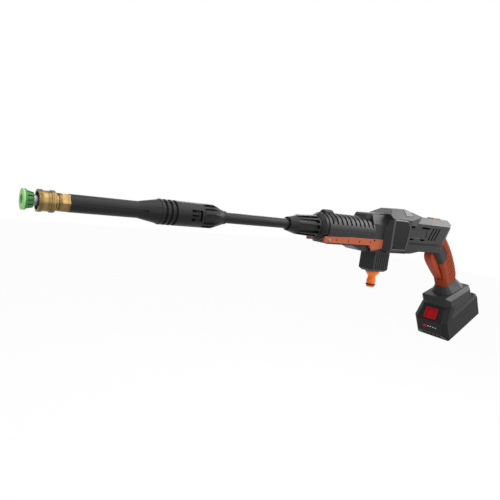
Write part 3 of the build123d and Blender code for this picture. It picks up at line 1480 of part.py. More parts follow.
# Water inlet under the neck
with BuildPart() as inlet_block:
    with BuildSketch(Plane.XY.offset(inlet_bottom)) as inlet_plan:
        Rectangle(2 * INLET_HALF_LENGTH, 2 * INLET_HALF_WIDTH)
    extrude(inlet_plan.sketch, amount=inlet_top - inlet_bottom)
    chamfer(inlet_block.faces().sort_by(Axis.Z)[0].edges(), length=INLET_BEVEL)
    for index in range(INLET_RIBS):
        groove_x = (index - (INLET_RIBS - 1) / 2) * INLET_RIB_PITCH
        for facing in (-1, 1):
            with BuildSketch(Plane.XY.offset(inlet_bottom)) as rib_groove:
                with Locations((groove_x, facing * INLET_HALF_WIDTH)):
                    Rectangle(INLET_RIB_GROOVE, INLET_RIB_GROOVE)
            extrude(rib_groove.sketch, amount=inlet_top - inlet_bottom - INLET_BEVEL, mode=Mode.SUBTRACT)
    with BuildSketch(Plane.XY.offset(inlet_bottom)) as inlet_bore:
        Circle(INLET_BORE_R)
    bore_depth = NIPPLE_STEM_LENGTH + FILTER_LENGTH + SEAM
    extrude(inlet_bore.sketch, amount=bore_depth, mode=Mode.SUBTRACT)
    with BuildSketch(Plane.XY.offset(inlet_bottom)) as inlet_way:
        Circle(INLET_TUBE_R + SEAT_GAP)
    extrude(inlet_way.sketch, amount=inlet_top - inlet_bottom, mode=Mode.SUBTRACT)
save(inlet_block, "inlet_block")

ring_z = NIPPLE_RING_RISE
upright = Plane.XZ
with BuildPart() as hose_nipple:
    cone_low = inlet_bottom - NIPPLE_FLANGE_LENGTH - NIPPLE_CONE_LENGTH
    neck_low = cone_low - NIPPLE_NECK_LENGTH
    bulge_low = neck_low - NIPPLE_BULGE_LENGTH
    bulge_edge = NIPPLE_BULGE_R - NIPPLE_NECK_R
    nipple_points = [
        (0, 0),
        (NIPPLE_TIP_R - bulge_edge / 2, 0),
        (NIPPLE_TIP_R, bulge_edge / 2),
        (NIPPLE_TIP_R, bulge_low),
        (NIPPLE_BULGE_R, bulge_low + bulge_edge),
        (NIPPLE_BULGE_R, neck_low - bulge_edge),
        (NIPPLE_NECK_R, neck_low),
        (NIPPLE_NECK_R, cone_low),
        (NIPPLE_FLANGE_R, inlet_bottom - NIPPLE_FLANGE_LENGTH),
        (NIPPLE_FLANGE_R, inlet_bottom),
        (NIPPLE_STEM_R, inlet_bottom),
        (NIPPLE_STEM_R, inlet_bottom + NIPPLE_STEM_LENGTH),
        (0, inlet_bottom + NIPPLE_STEM_LENGTH),
    ]
    revolve(polygon(upright, nipple_points), axis=Axis.Z)
    with BuildSketch(upright) as ring_groove:
        with Locations((NIPPLE_TIP_R, ring_z)):
            Rectangle(2 * NIPPLE_RING_R, 2 * NIPPLE_RING_R + 2 * SEAT_GAP)
    revolve(ring_groove.sketch, axis=Axis.Z, mode=Mode.SUBTRACT)
    with BuildSketch(Plane.XY) as nipple_bore:
        Circle(NIPPLE_BORE_R)
    extrude(nipple_bore.sketch, amount=inlet_bottom + NIPPLE_STEM_LENGTH, mode=Mode.SUBTRACT)
save(hose_nipple, "hose_nipple")

with BuildPart() as nipple_ring:
    with BuildSketch(upright) as ring_section:
        with Locations((NIPPLE_TIP_R + SEAT_GAP, ring_z)):
            Circle(NIPPLE_RING_R)
    revolve(ring_section.sketch, axis=Axis.Z)
save(nipple_ring, "nipple_ring")

with BuildPart() as inlet_filter:
    with BuildSketch(Plane.XY.offset(filter_low)) as filter_round:
        Circle(FILTER_R)
    extrude(filter_round.sketch, amount=FILTER_LENGTH)
    with BuildSketch(Plane.XY.offset(filter_low)) as filter_hole:
        Circle(FILTER_R - FILTER_WALL)
    extrude(filter_hole.sketch, amount=FILTER_LENGTH - FILTER_WALL, mode=Mode.SUBTRACT)
save(inlet_filter, "inlet_filter")

with BuildPart() as inlet_tube:
    pipe_along(inlet_route, INLET_TUBE_R)
    pipe_along(inlet_route, INLET_TUBE_BORE_R, Mode.SUBTRACT)
save(inlet_tube, "inlet_tube")


def foot_lengthwise(y):
    # Lengthwise plane of the foot and battery, y to the right of the middle
    return Plane(origin=(foot_origin[0], y, foot_origin[2]), x_dir=along_dir, z_dir=(0, -1, 0))


def in_foot(along, up, across_y=0):
    # World place of a point given in the grip's frame
    return foot_side.from_local_coords((along, up, -across_y))


def world_dir(along, up):
    return (
        along * along_dir[0] + up * up_dir[0],
        0,
        along * along_dir[2] + up * up_dir[2],
    )


# Battery foot
foot_length = FOOT_REAR - FOOT_FRONT
foot_middle = (FOOT_FRONT + FOOT_REAR) / 2
roof_slope = (FOOT_REAR_TOP - FOOT_FRONT_TOP) / foot_length
roof_middle = FOOT_FRONT_TOP - FOOT_FRONT * roof_slope
with BuildPart() as battery_foot:
    slab(
        foot_side,
        [
            (FOOT_FRONT, -FOOT_BOTTOM),
            (FOOT_FRONT, -FOOT_BROW),
            (FOOT_FRONT + FOOT_FRONT_BEVEL, -FOOT_FRONT_TOP),
            (FOOT_REAR - FOOT_REAR_BEVEL, -FOOT_REAR_TOP),
            (FOOT_REAR, -FOOT_REAR_TOP - FOOT_REAR_BEVEL),
            (FOOT_REAR, -FOOT_BOTTOM),
        ],
        FOOT_HALF,
    )
    with BuildSketch(foot.offset(-FOOT_BOTTOM)) as foot_plan:
        with Locations((foot_middle, 0)):
            Rectangle(foot_length, 2 * FOOT_HALF)
        chamfer(foot_plan.vertices(), length=FOOT_CORNER)
    extrude(foot_plan.sketch, amount=FOOT_BOTTOM, mode=Mode.INTERSECT)
    roof_section = [
        (FOOT_HALF, -2 * FOOT_BOTTOM),
        (FOOT_HALF, -roof_middle - FOOT_EAVE),
        (FOOT_RIDGE_HALF, -roof_middle),
    ]
    roof_section += [(-y, z) for y, z in reversed(roof_section)]
    roof_across = Plane(origin=foot_origin, x_dir=(0, 1, 0), z_dir=world_dir(1, -roof_slope))
    extrude(polygon(roof_across, roof_section), amount=2 * foot_length, both=True, mode=Mode.INTERSECT)
    # Cone that carries the grip
    neck_drop = roof_middle + NECK_BASE_SHIFT * roof_slope
    roof_plane = Plane(
        origin=in_foot(NECK_BASE_SHIFT, -neck_drop),
        x_dir=world_dir(1, -roof_slope),
        z_dir=world_dir(roof_slope, 1),
    )
    with BuildSketch(foot) as neck_top:
        with Locations((GRIP_LOW_SHIFT, 0)):
            grip_round(GRIP_LOW_DEPTH, GRIP_LOW_HALF)
    with BuildSketch(roof_plane) as neck_base:
        grip_round(NECK_BASE_DEPTH, NECK_BASE_HALF)
    loft([neck_top.sketch, neck_base.sketch])
    extrude(neck_base.sketch, amount=-NECK_ROOT)
    block(
        foot_side,
        FOOT_FRONT - CUT_OVER,
        CHANNEL_REAR,
        -FOOT_BOTTOM - CUT_OVER,
        -FOOT_MOUTH,
        CHANNEL_HALF,
        Mode.SUBTRACT,
    )
    rail_half = SLIDE_RAIL_HEIGHT / 2
    for facing in (-1, 1):
        rail_points = [
            (FOOT_FRONT + FOOT_CORNER, -SLIDE_RAIL_DROP - rail_half),
            (CHANNEL_REAR, -SLIDE_RAIL_DROP - rail_half),
            (CHANNEL_REAR, -SLIDE_RAIL_DROP + rail_half),
            (FOOT_FRONT + FOOT_CORNER, -SLIDE_RAIL_DROP + rail_half),
        ]
        rail_sketch = polygon(foot_lengthwise(facing * CHANNEL_HALF), rail_points)
        extrude(rail_sketch, amount=facing * SLIDE_RAIL_DEPTH)
save(battery_foot, "battery_foot")

# Terminals in the foot, with blades that enter the battery tower
with BuildPart() as terminal_block:
    terminal_front = CHANNEL_REAR - TERMINAL_LENGTH
    terminal_top = -FOOT_MOUTH - SLIDE_GAP
    terminal_low = -FOOT_BOTTOM
    block(foot_side, terminal_front, CHANNEL_REAR, terminal_low, terminal_top, TERMINAL_HALF)
    blade_mid = (terminal_top + terminal_low) / 2
    for index in range(BLADES):
        blade_y = (index - (BLADES - 1) / 2) * BLADE_PITCH
        block(
            foot_lengthwise(blade_y),
            terminal_front - BLADE_LENGTH,
            terminal_front,
            blade_mid - BLADE_HEIGHT / 2,
            blade_mid + BLADE_HEIGHT / 2,
            BLADE_THICK / 2,
        )
save(terminal_block, "terminal_block")

# Battery
pack_top = -FOOT_BOTTOM - SEAM
tower_top = -FOOT_MOUTH - SLIDE_GAP
tower_front = FOOT_FRONT - SEAM
tower_rear = terminal_front - SLIDE_GAP
tower_half = CHANNEL_HALF - SLIDE_GAP
pack_middle = (PACK_FRONT + PACK_REAR) / 2
pack_length = PACK_REAR - PACK_FRONT
tilt_run = tower_front - PACK_FRONT
tilt_drop = PACK_LIP - HOUSING_TOP
tilt_length = hypot(tilt_run, tilt_drop)
tilt_in = (tilt_drop / tilt_length, -tilt_run / tilt_length)
tilt_mid = (tower_front - tilt_run / 2, -HOUSING_TOP - tilt_drop / 2)
shoulder_inset = (PACK_LIP + pack_top) * tilt_run / tilt_drop
cell_low = -PACK_BOTTOM + PACK_WALL + CELL_GAP + CELL_R
cell_pitch = 2 * CELL_R + CELL_GAP
cells_top = cell_low + (CELL_ROWS - 1) * cell_pitch + CELL_R


button_plane = Plane(origin=in_foot(*tilt_mid), x_dir=(0, 1, 0), z_dir=world_dir(-tilt_in[0], -tilt_in[1]))
pack_face = Plane(origin=in_foot(PACK_FRONT, 0), x_dir=(0, -1, 0), z_dir=world_dir(-1, 0))
charge_x = -CHARGE_SIDE
lamp_places = [charge_x + 2 * CHARGE_HALF + index * LAMP_PITCH for index in range(LAMPS)]


def pack_plan(up, inset):
    # Level section of the battery, drawn in by the inset
    with BuildSketch(foot.offset(up)) as plan:
        with Locations((pack_middle, 0)):
            Rectangle(pack_length - 2 * inset, 2 * PACK_HALF - 2 * inset)
        chamfer(plan.vertices(), length=PACK_CORNER - (2 - sqrt(2)) * inset)
    return plan.sketch


def pack_prism(up_low, up_high, inset):
    return extrude(pack_plan(up_low, inset), amount=up_high - up_low, mode=Mode.PRIVATE)


def cut_nose(inset):
    # Bevel under the battery's front, drawn in by the inset
    nose_slope = PACK_NOSE_RUN / (PACK_BOTTOM - PACK_NOSE_DROP)
    nose_front = PACK_FRONT + inset * hypot(1, nose_slope)
    nose_depth = PACK_BOTTOM - PACK_NOSE_DROP + CUT_OVER
    slab(
        foot_side,
        [
            (nose_front - CUT_OVER, -PACK_NOSE_DROP),
            (nose_front, -PACK_NOSE_DROP),
            (nose_front + nose_depth * nose_slope, -PACK_NOSE_DROP - nose_depth),
            (nose_front - CUT_OVER, -PACK_NOSE_DROP - nose_depth),
        ],
        PACK_HALF + CUT_OVER,
        Mode.SUBTRACT,
    )


with BuildPart() as pack_room:
    add(pack_prism(-PACK_BOTTOM + PACK_WALL, -PACK_LIP, PACK_WALL))
    cut_nose(PACK_WALL)

with BuildPart() as battery_lower:
    add(pack_prism(-PACK_BOTTOM, -PACK_SPLIT, 0))
    chamfer(battery_lower.faces().sort_by(Axis(foot_origin, up_dir))[0].edges(), length=PACK_EDGE)
    cut_nose(0)
    add(pack_room.part, mode=Mode.SUBTRACT)
save(battery_lower, "battery_lower")

# Outline of the slope that carries the release button, at the lip and at the top
lip_half = PACK_HALF - PACK_CORNER
lip_side = PACK_FRONT + PACK_CORNER
brow_half = FOOT_HALF - FOOT_CORNER
brow_side = tower_front + FOOT_CORNER
lip_points = [(lip_side + HOUSING_RUN, PACK_HALF), (lip_side, PACK_HALF), (PACK_FRONT, lip_half)]
brow_points = [(brow_side + HOUSING_RUN, FOOT_HALF), (brow_side, FOOT_HALF), (tower_front, brow_half)]
lip_points += [(x, -y) for x, y in reversed(lip_points)]
brow_points += [(x, -y) for x, y in reversed(brow_points)]
clear_half = FOOT_HALF + SEAM
clear_points = [(PACK_REAR, clear_half), (brow_side, clear_half), (tower_front, brow_half)]
clear_points += [(x, -y) for x, y in reversed(clear_points)]
with BuildPart() as battery_upper:
    add(pack_prism(-PACK_SPLIT, -PACK_LIP, 0))
    loft([pack_plan(-PACK_LIP, 0), pack_plan(pack_top, shoulder_inset)])
    loft([polygon(foot.offset(-PACK_LIP), lip_points), polygon(foot.offset(-HOUSING_TOP), brow_points)])
    foot_clear = polygon(foot.offset(pack_top), clear_points)
    extrude(foot_clear, amount=FOOT_BOTTOM, mode=Mode.SUBTRACT)
    block(foot_side, tower_front, tower_rear, pack_top - PACK_WALL, tower_top, tower_half)
    add(pack_room.part, mode=Mode.SUBTRACT)
    # Grooves for the foot's rails and slots for the blades
    for facing in (-1, 1):
        groove_half = SLIDE_RAIL_HEIGHT / 2 + SLIDE_GAP
        groove_points = [
            (tower_front, -SLIDE_RAIL_DROP - groove_half),
            (tower_rear + CUT_OVER, -SLIDE_RAIL_DROP - groove_half),
            (tower_rear + CUT_OVER, -SLIDE_RAIL_DROP + groove_half),
            (tower_front, -SLIDE_RAIL_DROP + groove_half),
        ]
        groove_sketch = polygon(foot_lengthwise(facing * CHANNEL_HALF), groove_points)
        extrude(groove_sketch, amount=facing * (SLIDE_RAIL_DEPTH + SLIDE_GAP), mode=Mode.SUBTRACT)
    for index in range(BLADES):
        blade_y = (index - (BLADES - 1) / 2) * BLADE_PITCH
        block(
            foot_lengthwise(blade_y),
            terminal_front - BLADE_LENGTH - SEAM,
            tower_rear + CUT_OVER,
            blade_mid - BLADE_HEIGHT / 2 - SLIDE_GAP,
            blade_mid + BLADE_HEIGHT / 2 + SLIDE_GAP,
            BLADE_THICK / 2 + SLIDE_GAP,
            Mode.SUBTRACT,
        )
    with BuildSketch(button_plane) as button_well:
        Rectangle(2 * PACK_BUTTON_HALF + 2 * SLIDE_GAP, PACK_BUTTON_LENGTH + 2 * SLIDE_GAP)
    for lamp_x in lamp_places:
        with BuildSketch(pack_face) as lamp_hole:
            with Locations((lamp_x, -LAMP_DROP)):
                Circle(LAMP_R + SEAT_GAP)
        extrude(lamp_hole.sketch, amount=-PACK_WALL, mode=Mode.SUBTRACT)
    with BuildSketch(pack_face) as charge_hole:
        with Locations((charge_x, -LAMP_DROP)):
            Rectangle(2 * CHARGE_HALF + 2 * SLIDE_GAP, CHARGE_HEIGHT + 2 * SLIDE_GAP)
    extrude(charge_hole.sketch, amount=-PACK_WALL, mode=Mode.SUBTRACT)
    well_depth = PACK_BUTTON_THICK + PACK_BUTTON_TRAVEL + SLIDE_GAP
    extrude(button_well.sketch, amount=-well_depth, mode=Mode.SUBTRACT)
save(battery_upper, "battery_upper")

with BuildPart() as battery_release:
    with BuildSketch(button_plane.offset(PACK_BUTTON_RISE)) as button_face:
        Rectangle(2 * PACK_BUTTON_HALF, PACK_BUTTON_LENGTH)
    extrude(button_face.sketch, amount=-PACK_BUTTON_THICK - PACK_BUTTON_RISE)
    with BuildSketch(button_plane.offset(PACK_BUTTON_RISE)) as button_dish:
        Rectangle(2 * PACK_BUTTON_HALF - 2 * PACK_BUTTON_RIM, PACK_BUTTON_LENGTH - 2 * PACK_BUTTON_RIM)
    extrude(button_dish.sketch, amount=-PACK_BUTTON_DISH, mode=Mode.SUBTRACT)
save(battery_release, "battery_release")

with BuildPart() as battery_cells:
    for row in range(CELL_ROWS):
        for index in range(CELLS_PER_ROW):
            cell_along = CELL_FRONT + index * cell_pitch
            with BuildSketch(foot_side) as cell_end:
                with Locations((cell_along, cell_low + row * cell_pitch)):
                    Circle(CELL_R)
            extrude(cell_end.sketch, amount=CELL_LENGTH / 2, both=True)
save(battery_cells, "battery_cells")

with BuildPart() as battery_board:
    board_low = cells_top + CELL_GAP
    board_rear = CELL_FRONT + (CELLS_PER_ROW - 1) * cell_pitch + CELL_R
    block(
        foot_side,
        CELL_FRONT - CELL_R,
        board_rear,
        board_low,
        board_low + PACK_BOARD_THICK,
        TERMINAL_HALF,
    )
save(battery_board, "battery_board")

with BuildPart() as charge_lamps:
    for lamp_x in lamp_places:
        with BuildSketch(pack_face.offset(LAMP_R / 4)) as lamp_face:
            with Locations((lamp_x, -LAMP_DROP)):
                Circle(LAMP_R)
        extrude(lamp_face.sketch, amount=-PACK_WALL - CHARGE_TRAVEL - LAMP_R / 4)
save(charge_lamps, "charge_lamps")

with BuildPart() as charge_button:
    with BuildSketch(pack_face.offset(CHARGE_TRAVEL)) as charge_face:
        with Locations((charge_x, -LAMP_DROP)):
            Rectangle(2 * CHARGE_HALF, CHARGE_HEIGHT)
    extrude(charge_face.sketch, amount=-PACK_WALL - CHARGE_TRAVEL)
save(charge_button, "charge_button")

with BuildPart() as lamp_board:
    with BuildSketch(pack_face.offset(-PACK_WALL - CHARGE_TRAVEL)) as lamp_plate:
        with Locations((0, -LAMP_DROP)):
            Rectangle(2 * TERMINAL_HALF, 2 * CHARGE_HEIGHT)
    extrude(lamp_plate.sketch, amount=-PACK_BOARD_THICK)
save(lamp_board, "lamp_board")

spring_face = foot_side.from_local_coords((SWITCH_FRONT, TRIGGER_COIL_UP, 0))
with BuildPart() as trigger_spring:
    coil(
        spring_face - Vector(*along_dir) * SPRING_WIRE,
        (-along_dir[0], 0, -along_dir[2]),
        TRIGGER_COIL_LENGTH,
        TRIGGER_COIL_R,
        SPRING_WIRE,
        4,
    )
save(trigger_spring, "trigger_spring")
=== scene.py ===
import json
import math

import bmesh
import bpy
from mathutils import Matrix, Vector


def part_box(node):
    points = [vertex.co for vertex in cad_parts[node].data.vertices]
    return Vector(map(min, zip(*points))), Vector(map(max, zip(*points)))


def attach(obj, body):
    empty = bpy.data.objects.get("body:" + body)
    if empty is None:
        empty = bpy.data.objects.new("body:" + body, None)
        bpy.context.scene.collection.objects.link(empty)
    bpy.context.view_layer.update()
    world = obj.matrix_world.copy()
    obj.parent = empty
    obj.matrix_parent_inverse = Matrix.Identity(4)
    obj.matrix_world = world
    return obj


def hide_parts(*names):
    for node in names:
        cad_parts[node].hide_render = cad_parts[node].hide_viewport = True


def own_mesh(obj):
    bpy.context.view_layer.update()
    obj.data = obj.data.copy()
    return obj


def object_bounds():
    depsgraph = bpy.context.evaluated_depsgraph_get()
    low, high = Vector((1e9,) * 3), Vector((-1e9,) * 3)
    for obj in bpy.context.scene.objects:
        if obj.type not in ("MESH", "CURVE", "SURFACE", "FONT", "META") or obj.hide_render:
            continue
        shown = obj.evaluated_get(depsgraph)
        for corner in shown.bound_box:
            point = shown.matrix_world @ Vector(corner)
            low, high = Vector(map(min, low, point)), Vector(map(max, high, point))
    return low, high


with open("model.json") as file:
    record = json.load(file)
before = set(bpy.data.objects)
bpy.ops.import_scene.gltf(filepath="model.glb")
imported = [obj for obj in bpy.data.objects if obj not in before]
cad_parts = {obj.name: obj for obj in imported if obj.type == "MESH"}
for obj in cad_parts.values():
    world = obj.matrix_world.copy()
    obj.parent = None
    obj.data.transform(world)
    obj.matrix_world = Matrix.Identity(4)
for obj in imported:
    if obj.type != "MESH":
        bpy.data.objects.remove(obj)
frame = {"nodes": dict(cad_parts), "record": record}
nodes = frame["nodes"]
cadBox = [list(corner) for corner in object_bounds()]
print("stage: frame loaded")


class Wire:
    def __init__(self, tree, socket):
        self.tree = tree
        self.socket = socket

    def node(self, kind, inputs=(), output=0, **settings):
        made = self.tree.nodes.new(kind)
        for name, value in settings.items():
            setattr(made, name, value)
        for key, value in dict(inputs).items():
            if isinstance(value, Wire):
                self.tree.links.new(value.socket, made.inputs[key])
            else:
                made.inputs[key].default_value = value
        return Wire(self.tree, made.outputs[output])

    def math(self, operation, other=0.0):
        return self.node("ShaderNodeMath", {0: self, 1: other}, operation=operation)

    def __add__(self, other):
        return self.math("ADD", other)

    __radd__ = __add__

    def __mul__(self, other):
        return self.math("MULTIPLY", other)

    __rmul__ = __mul__

    def __sub__(self, other):
        return self.math("SUBTRACT", other)

    def __rsub__(self, other):
        return (self * -1.0) + other

    def step(self, low, high):  # smooth ramp from 0 at low to 1 at high
        return self.node(
            "ShaderNodeMapRange",
            {"Value": self, "From Min": low, "From Max": high},
            interpolation_type="SMOOTHSTEP",
        )

    def tint(self, low, high):  # colour between two colours
        ends = [end if isinstance(end, Wire) else (*end, 1.0) for end in (low, high)]
        return self.node(
            "ShaderNodeMix", {0: self, 6: ends[0], 7: ends[1]}, output=2, data_type="RGBA"
        )

    def dot(self, other):
        return self.node(
            "ShaderNodeVectorMath",
            {0: self, 1: other},
            output="Value",
            operation="DOT_PRODUCT",
        )

    def noise(self, scale, detail, rough):
        return self.node(
            "ShaderNodeTexNoise",
            {"Vector": self, "Scale": scale, "Detail": detail, "Roughness": rough},
        )

    def axis(self, name):
        return self.node("ShaderNodeSeparateXYZ", {0: self}, output="XYZ".index(name))

    def stretched(self, scale):
        return self.node("ShaderNodeMapping", {"Vector": self, "Scale": scale})

    def attribute(self, name):  # a value kept on the mesh, 0 where it has none
        return self.node("ShaderNodeAttribute", output="Fac", attribute_name=name)


def newMaterial(name):
    material = bpy.data.materials.new(name)
    material.use_nodes = True
    tree = material.node_tree
    coords = tree.nodes.new("ShaderNodeTexCoord")
    return material, tree.nodes["Principled BSDF"], Wire(tree, coords.outputs["Object"])


def feed(shader, **values):
    for name, value in values.items():
        target = shader.inputs[name.replace("_", " ")]
        if isinstance(value, Wire):
            value.tree.links.new(value.socket, target)
        else:
            target.default_value = value


def bump(height, strength, distance, normal):
    return height.node(
        "ShaderNodeBump",
        {"Height": height, "Strength": strength, "Distance": distance, "Normal": normal},
    )


softEdge = {"samples": 4, "ramp": (0.01, 0.22)}


def softEdges(place, radius):  # rounded normal, and a mask that is 1 on a sharp edge
    soft = place.node("ShaderNodeBevel", {"Radius": radius}, samples=softEdge["samples"])
    flat = place.node("ShaderNodeNewGeometry", output="True Normal")
    return soft, (1.0 - soft.dot(flat)).step(*softEdge["ramp"])


def scaled(colour, share):
    return tuple(min(value * share, 1.0) for value in colour)


# Moulded plastics
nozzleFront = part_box("nozzle_skirt")[0][0]
plasticLook = {
    "casePlastic": {
        "dark": (0.010, 0.010, 0.011),
        "light": (0.018, 0.018, 0.019),
        "rough": 0.38,
        "gloss": 0.20,
    },
    "lancePlastic": {
        "dark": (0.006, 0.006, 0.007),
        "light": (0.011, 0.011, 0.012),
        "rough": 0.36,
        "gloss": 0.15,
    },
    # painted highlight: a paler copy of the black case plastic, standing for light on the
    # frame's bevel
    "panelHighlightPlastic": {
        "dark": (0.040, 0.040, 0.040),
        "light": (0.056, 0.056, 0.056),
        "rough": 0.34,
        "gloss": 0.25,
    },
    "sheetPlastic": {
        "dark": (0.004, 0.004, 0.004),
        "light": (0.007, 0.007, 0.007),
        "rough": 0.24,
        "gloss": 0.12,
    },
    "meshPlastic": {
        "dark": (0.080, 0.080, 0.076),
        "light": (0.140, 0.140, 0.135),
        "rough": 0.42,
        "gloss": 0.20,
    },
    # painted shade: near black with no shine, for plates that stand for the dark inside of
    # slots and holes
    "holeShadePlastic": {
        "dark": (0.002, 0.002, 0.002),
        "light": (0.003, 0.003, 0.003),
        "rough": 0.70,
        "gloss": 0.0,
    },
    "batteryPlastic": {
        "dark": (0.0065, 0.0065, 0.007),
        "light": (0.011, 0.011, 0.012),
        "rough": 0.46,
        "gloss": 0.13,
    },
    "railPlastic": {
        "dark": (0.27, 0.054, 0.019),
        "light": (0.34, 0.076, 0.029),
        "rough": 0.42,
        "gloss": 0.25,
    },
    "nipplePlastic": {
        "dark": (0.66, 0.112, 0.006),
        "light": (0.78, 0.150, 0.010),
        "rough": 0.26,
        "gloss": 0.30,
    },
    "redPlastic": {
        "dark": (0.29, 0.001, 0.004),
        "light": (0.40, 0.004, 0.008),
        "rough": 0.30,
        "gloss": 0.14,
    },
    "greenPlastic": {
        "dark": (0.016, 0.100, 0.018),
        "light": (0.032, 0.165, 0.032),
        "rough": 0.36,
        "gloss": 0.25,
        "face": (0.215, 0.480, 0.150),  # painted highlight: the flange face is painted paler than the skirt, standing for light from the front
        "faceFront": nozzleFront + 0.0019,
        "faceRear": nozzleFront + 0.0026,
    },
    "palePlastic": {
        "dark": (0.50, 0.50, 0.47),
        "light": (0.60, 0.60, 0.57),
        "rough": 0.45,
        "gloss": 0.30,
    },
    "boardGreen": {
        "dark": (0.012, 0.070, 0.028),
        "light": (0.020, 0.105, 0.042),
        "rough": 0.40,
        "gloss": 0.30,
    },
    "cellWrap": {
        "dark": (0.040, 0.110, 0.240),
        "light": (0.055, 0.145, 0.300),
        "rough": 0.25,
        "gloss": 0.30,
    },
    "lampLens": {
        "dark": (0.66, 0.68, 0.64),
        "light": (0.78, 0.80, 0.76),
        "rough": 0.15,
        "gloss": 0.40,
    },
}
plasticGrain = {
    "cloud": (18.0, 4.0, 0.6),  # noise scale, detail and roughness
    "pores": (1500.0, 2.0, 0.5),
    "poreDepth": 0.00003,
    "poreStrength": 0.28,
    "scuff": (55.0, 6.0, 0.7),
    "scuffStretch": (1.0, 1.0, 3.0),
    "scuffRamp": (0.56, 0.72),
    "edgeRadius": 0.0005,
    "edgeLift": 1.9,  # how much lighter a rubbed edge is
    "wearShare": (0.8, 0.4),  # of cloud and scuff
    "shadeShare": (0.7, 0.3),  # of cloud and pores
    "roughShare": (0.16, 0.07, 0.06),  # of cloud, scuff and wear
}


def plastic(name, look, grain):
    material, shader, place = newMaterial(name)
    cloud = place.noise(*grain["cloud"])
    pores = place.noise(*grain["pores"])
    scuff = place.stretched(grain["scuffStretch"]).noise(*grain["scuff"])
    scuff = scuff.step(*grain["scuffRamp"])
    soft, edge = softEdges(place, grain["edgeRadius"])
    worn = edge * (cloud * grain["wearShare"][0] + scuff * grain["wearShare"][1])
    shade = cloud * grain["shadeShare"][0] + pores * grain["shadeShare"][1]
    shade = shade.tint(look["dark"], look["light"])
    if "face" in look:  # painted highlight: a paler face at the front end, standing for light from the front
        ahead = place.axis("X").step(look["faceRear"], look["faceFront"])
        shade = ahead.tint(shade, look["face"])
    byCloud, byScuff, byWear = grain["roughShare"]
    feed(
        shader,
        Base_Color=worn.tint(shade, scaled(look["light"], grain["edgeLift"])),
        Roughness=(cloud - 0.5) * byCloud + scuff * byScuff + worn * byWear + look["rough"],
        Normal=bump(pores, grain["poreStrength"], grain["poreDepth"], soft),
        Specular_IOR_Level=look["gloss"],
    )
    return material


materials = {name: plastic(name, look, plasticGrain) for name, look in plasticLook.items()}

# Soft grip and seals
rubberLook = {
    "gripRubber": {
        "dark": (0.165, 0.020, 0.002),
        "light": (0.215, 0.031, 0.005),
        "rough": 0.56,
        # painted shade: the dark colour laid between the grip's ribs
        "groove": (0.060, 0.007, 0.001),
        # painted highlight: the paler colour laid on the rib crowns
        "crown": (0.330, 0.062, 0.016),
    },
    "triggerRubber": {
        "dark": (0.235, 0.026, 0.004),
        "light": (0.295, 0.040, 0.008),
        "rough": 0.46,
    },
    "blackRubber": {
        "dark": (0.008, 0.008, 0.008),
        "light": (0.014, 0.014, 0.014),
        "rough": 0.55,
    },
}
rubberGrain = {
    "gloss": 0.16,
    "cloud": (30.0, 4.0, 0.6),  # noise scale, detail and roughness
    "pores": (2200.0, 2.0, 0.5),
    "poreDepth": 0.00008,
    "poreStrength": 0.35,
    "grime": (90.0, 6.0, 0.7),
    "grimeRamp": (0.58, 0.78),
    "grimeShare": 0.45,
    "grimeShade": 0.72,
    "edgeRadius": 0.0007,
    "shadeShare": (0.8, 0.2),  # of cloud and pores
    "roughShare": (0.12, 0.08, 0.06),  # of cloud, grime and edge
}


def rubber(name, look, grain):
    material, shader, place = newMaterial(name)
    cloud = place.noise(*grain["cloud"])
    pores = place.noise(*grain["pores"])
    grime = place.noise(*grain["grime"]).step(*grain["grimeRamp"])
    soft, edge = softEdges(place, grain["edgeRadius"])
    shade = cloud * grain["shadeShare"][0] + pores * grain["shadeShare"][1]
    shade = shade.tint(look["dark"], look["light"])
    if "groove" in look:  # painted highlight on the rib crowns, and painted shade between the ribs
        shade = place.attribute("ribCrownHighlight").tint(shade, look["crown"])
        shade = place.attribute("ribGrooveShade").tint(shade, look["groove"])
    byCloud, byGrime, byEdge = grain["roughShare"]
    dulled = scaled(look["dark"], grain["grimeShade"])
    feed(
        shader,
        Base_Color=(grime * grain["grimeShare"]).tint(shade, dulled),
        Roughness=(cloud - 0.5) * byCloud + grime * byGrime - edge * byEdge + look["rough"],
        Normal=bump(pores, grain["poreStrength"], grain["poreDepth"], soft),
        Specular_IOR_Level=grain["gloss"],
    )
    return material


for rubberName, rubberValues in rubberLook.items():
    materials[rubberName] = rubber(rubberName, rubberValues, rubberGrain)

# Metals
metalLook = {
    "brassMetal": {
        "dark": (0.060, 0.037, 0.014),
        "light": (0.265, 0.178, 0.074),
        "rough": 0.28,
    },
    "steelMetal": {"dark": (0.13, 0.13, 0.135), "light": (0.30, 0.30, 0.31), "rough": 0.32},
    "alloyMetal": {"dark": (0.50, 0.50, 0.52), "light": (0.62, 0.62, 0.64), "rough": 0.42},
    "magnetMetal": {"dark": (0.06, 0.06, 0.065), "light": (0.09, 0.09, 0.095), "rough": 0.55},
}
metalGrain = {
    "latheStretch": (900.0, 60.0, 60.0),
    "lathe": (1.0, 2.0, 0.5),  # noise scale, detail and roughness
    "latheStrength": 0.12,
    "latheDepth": 0.00004,
    # painted reflection: bands that stand for dark surroundings seen in the metal
    "reflectionBandStretch": (190.0, 8.0, 8.0),
    "reflectionBand": (1.0, 1.0, 0.5),
    "reflectionBandRamp": (0.36, 0.62),
    "tarnish": (120.0, 5.0, 0.65),
    "tarnishRamp": (0.48, 0.74),
    "edgeRadius": 0.0003,
    "edgeShare": 0.7,
    "edgeLift": 1.25,  # how much lighter a rubbed edge is
    "shadeShare": (0.20, 0.30, 0.50),  # of lathe lines, clean metal and painted reflection bands
    "roughShare": (0.14, 0.06, 0.06),  # of stain, lathe lines and edge
}


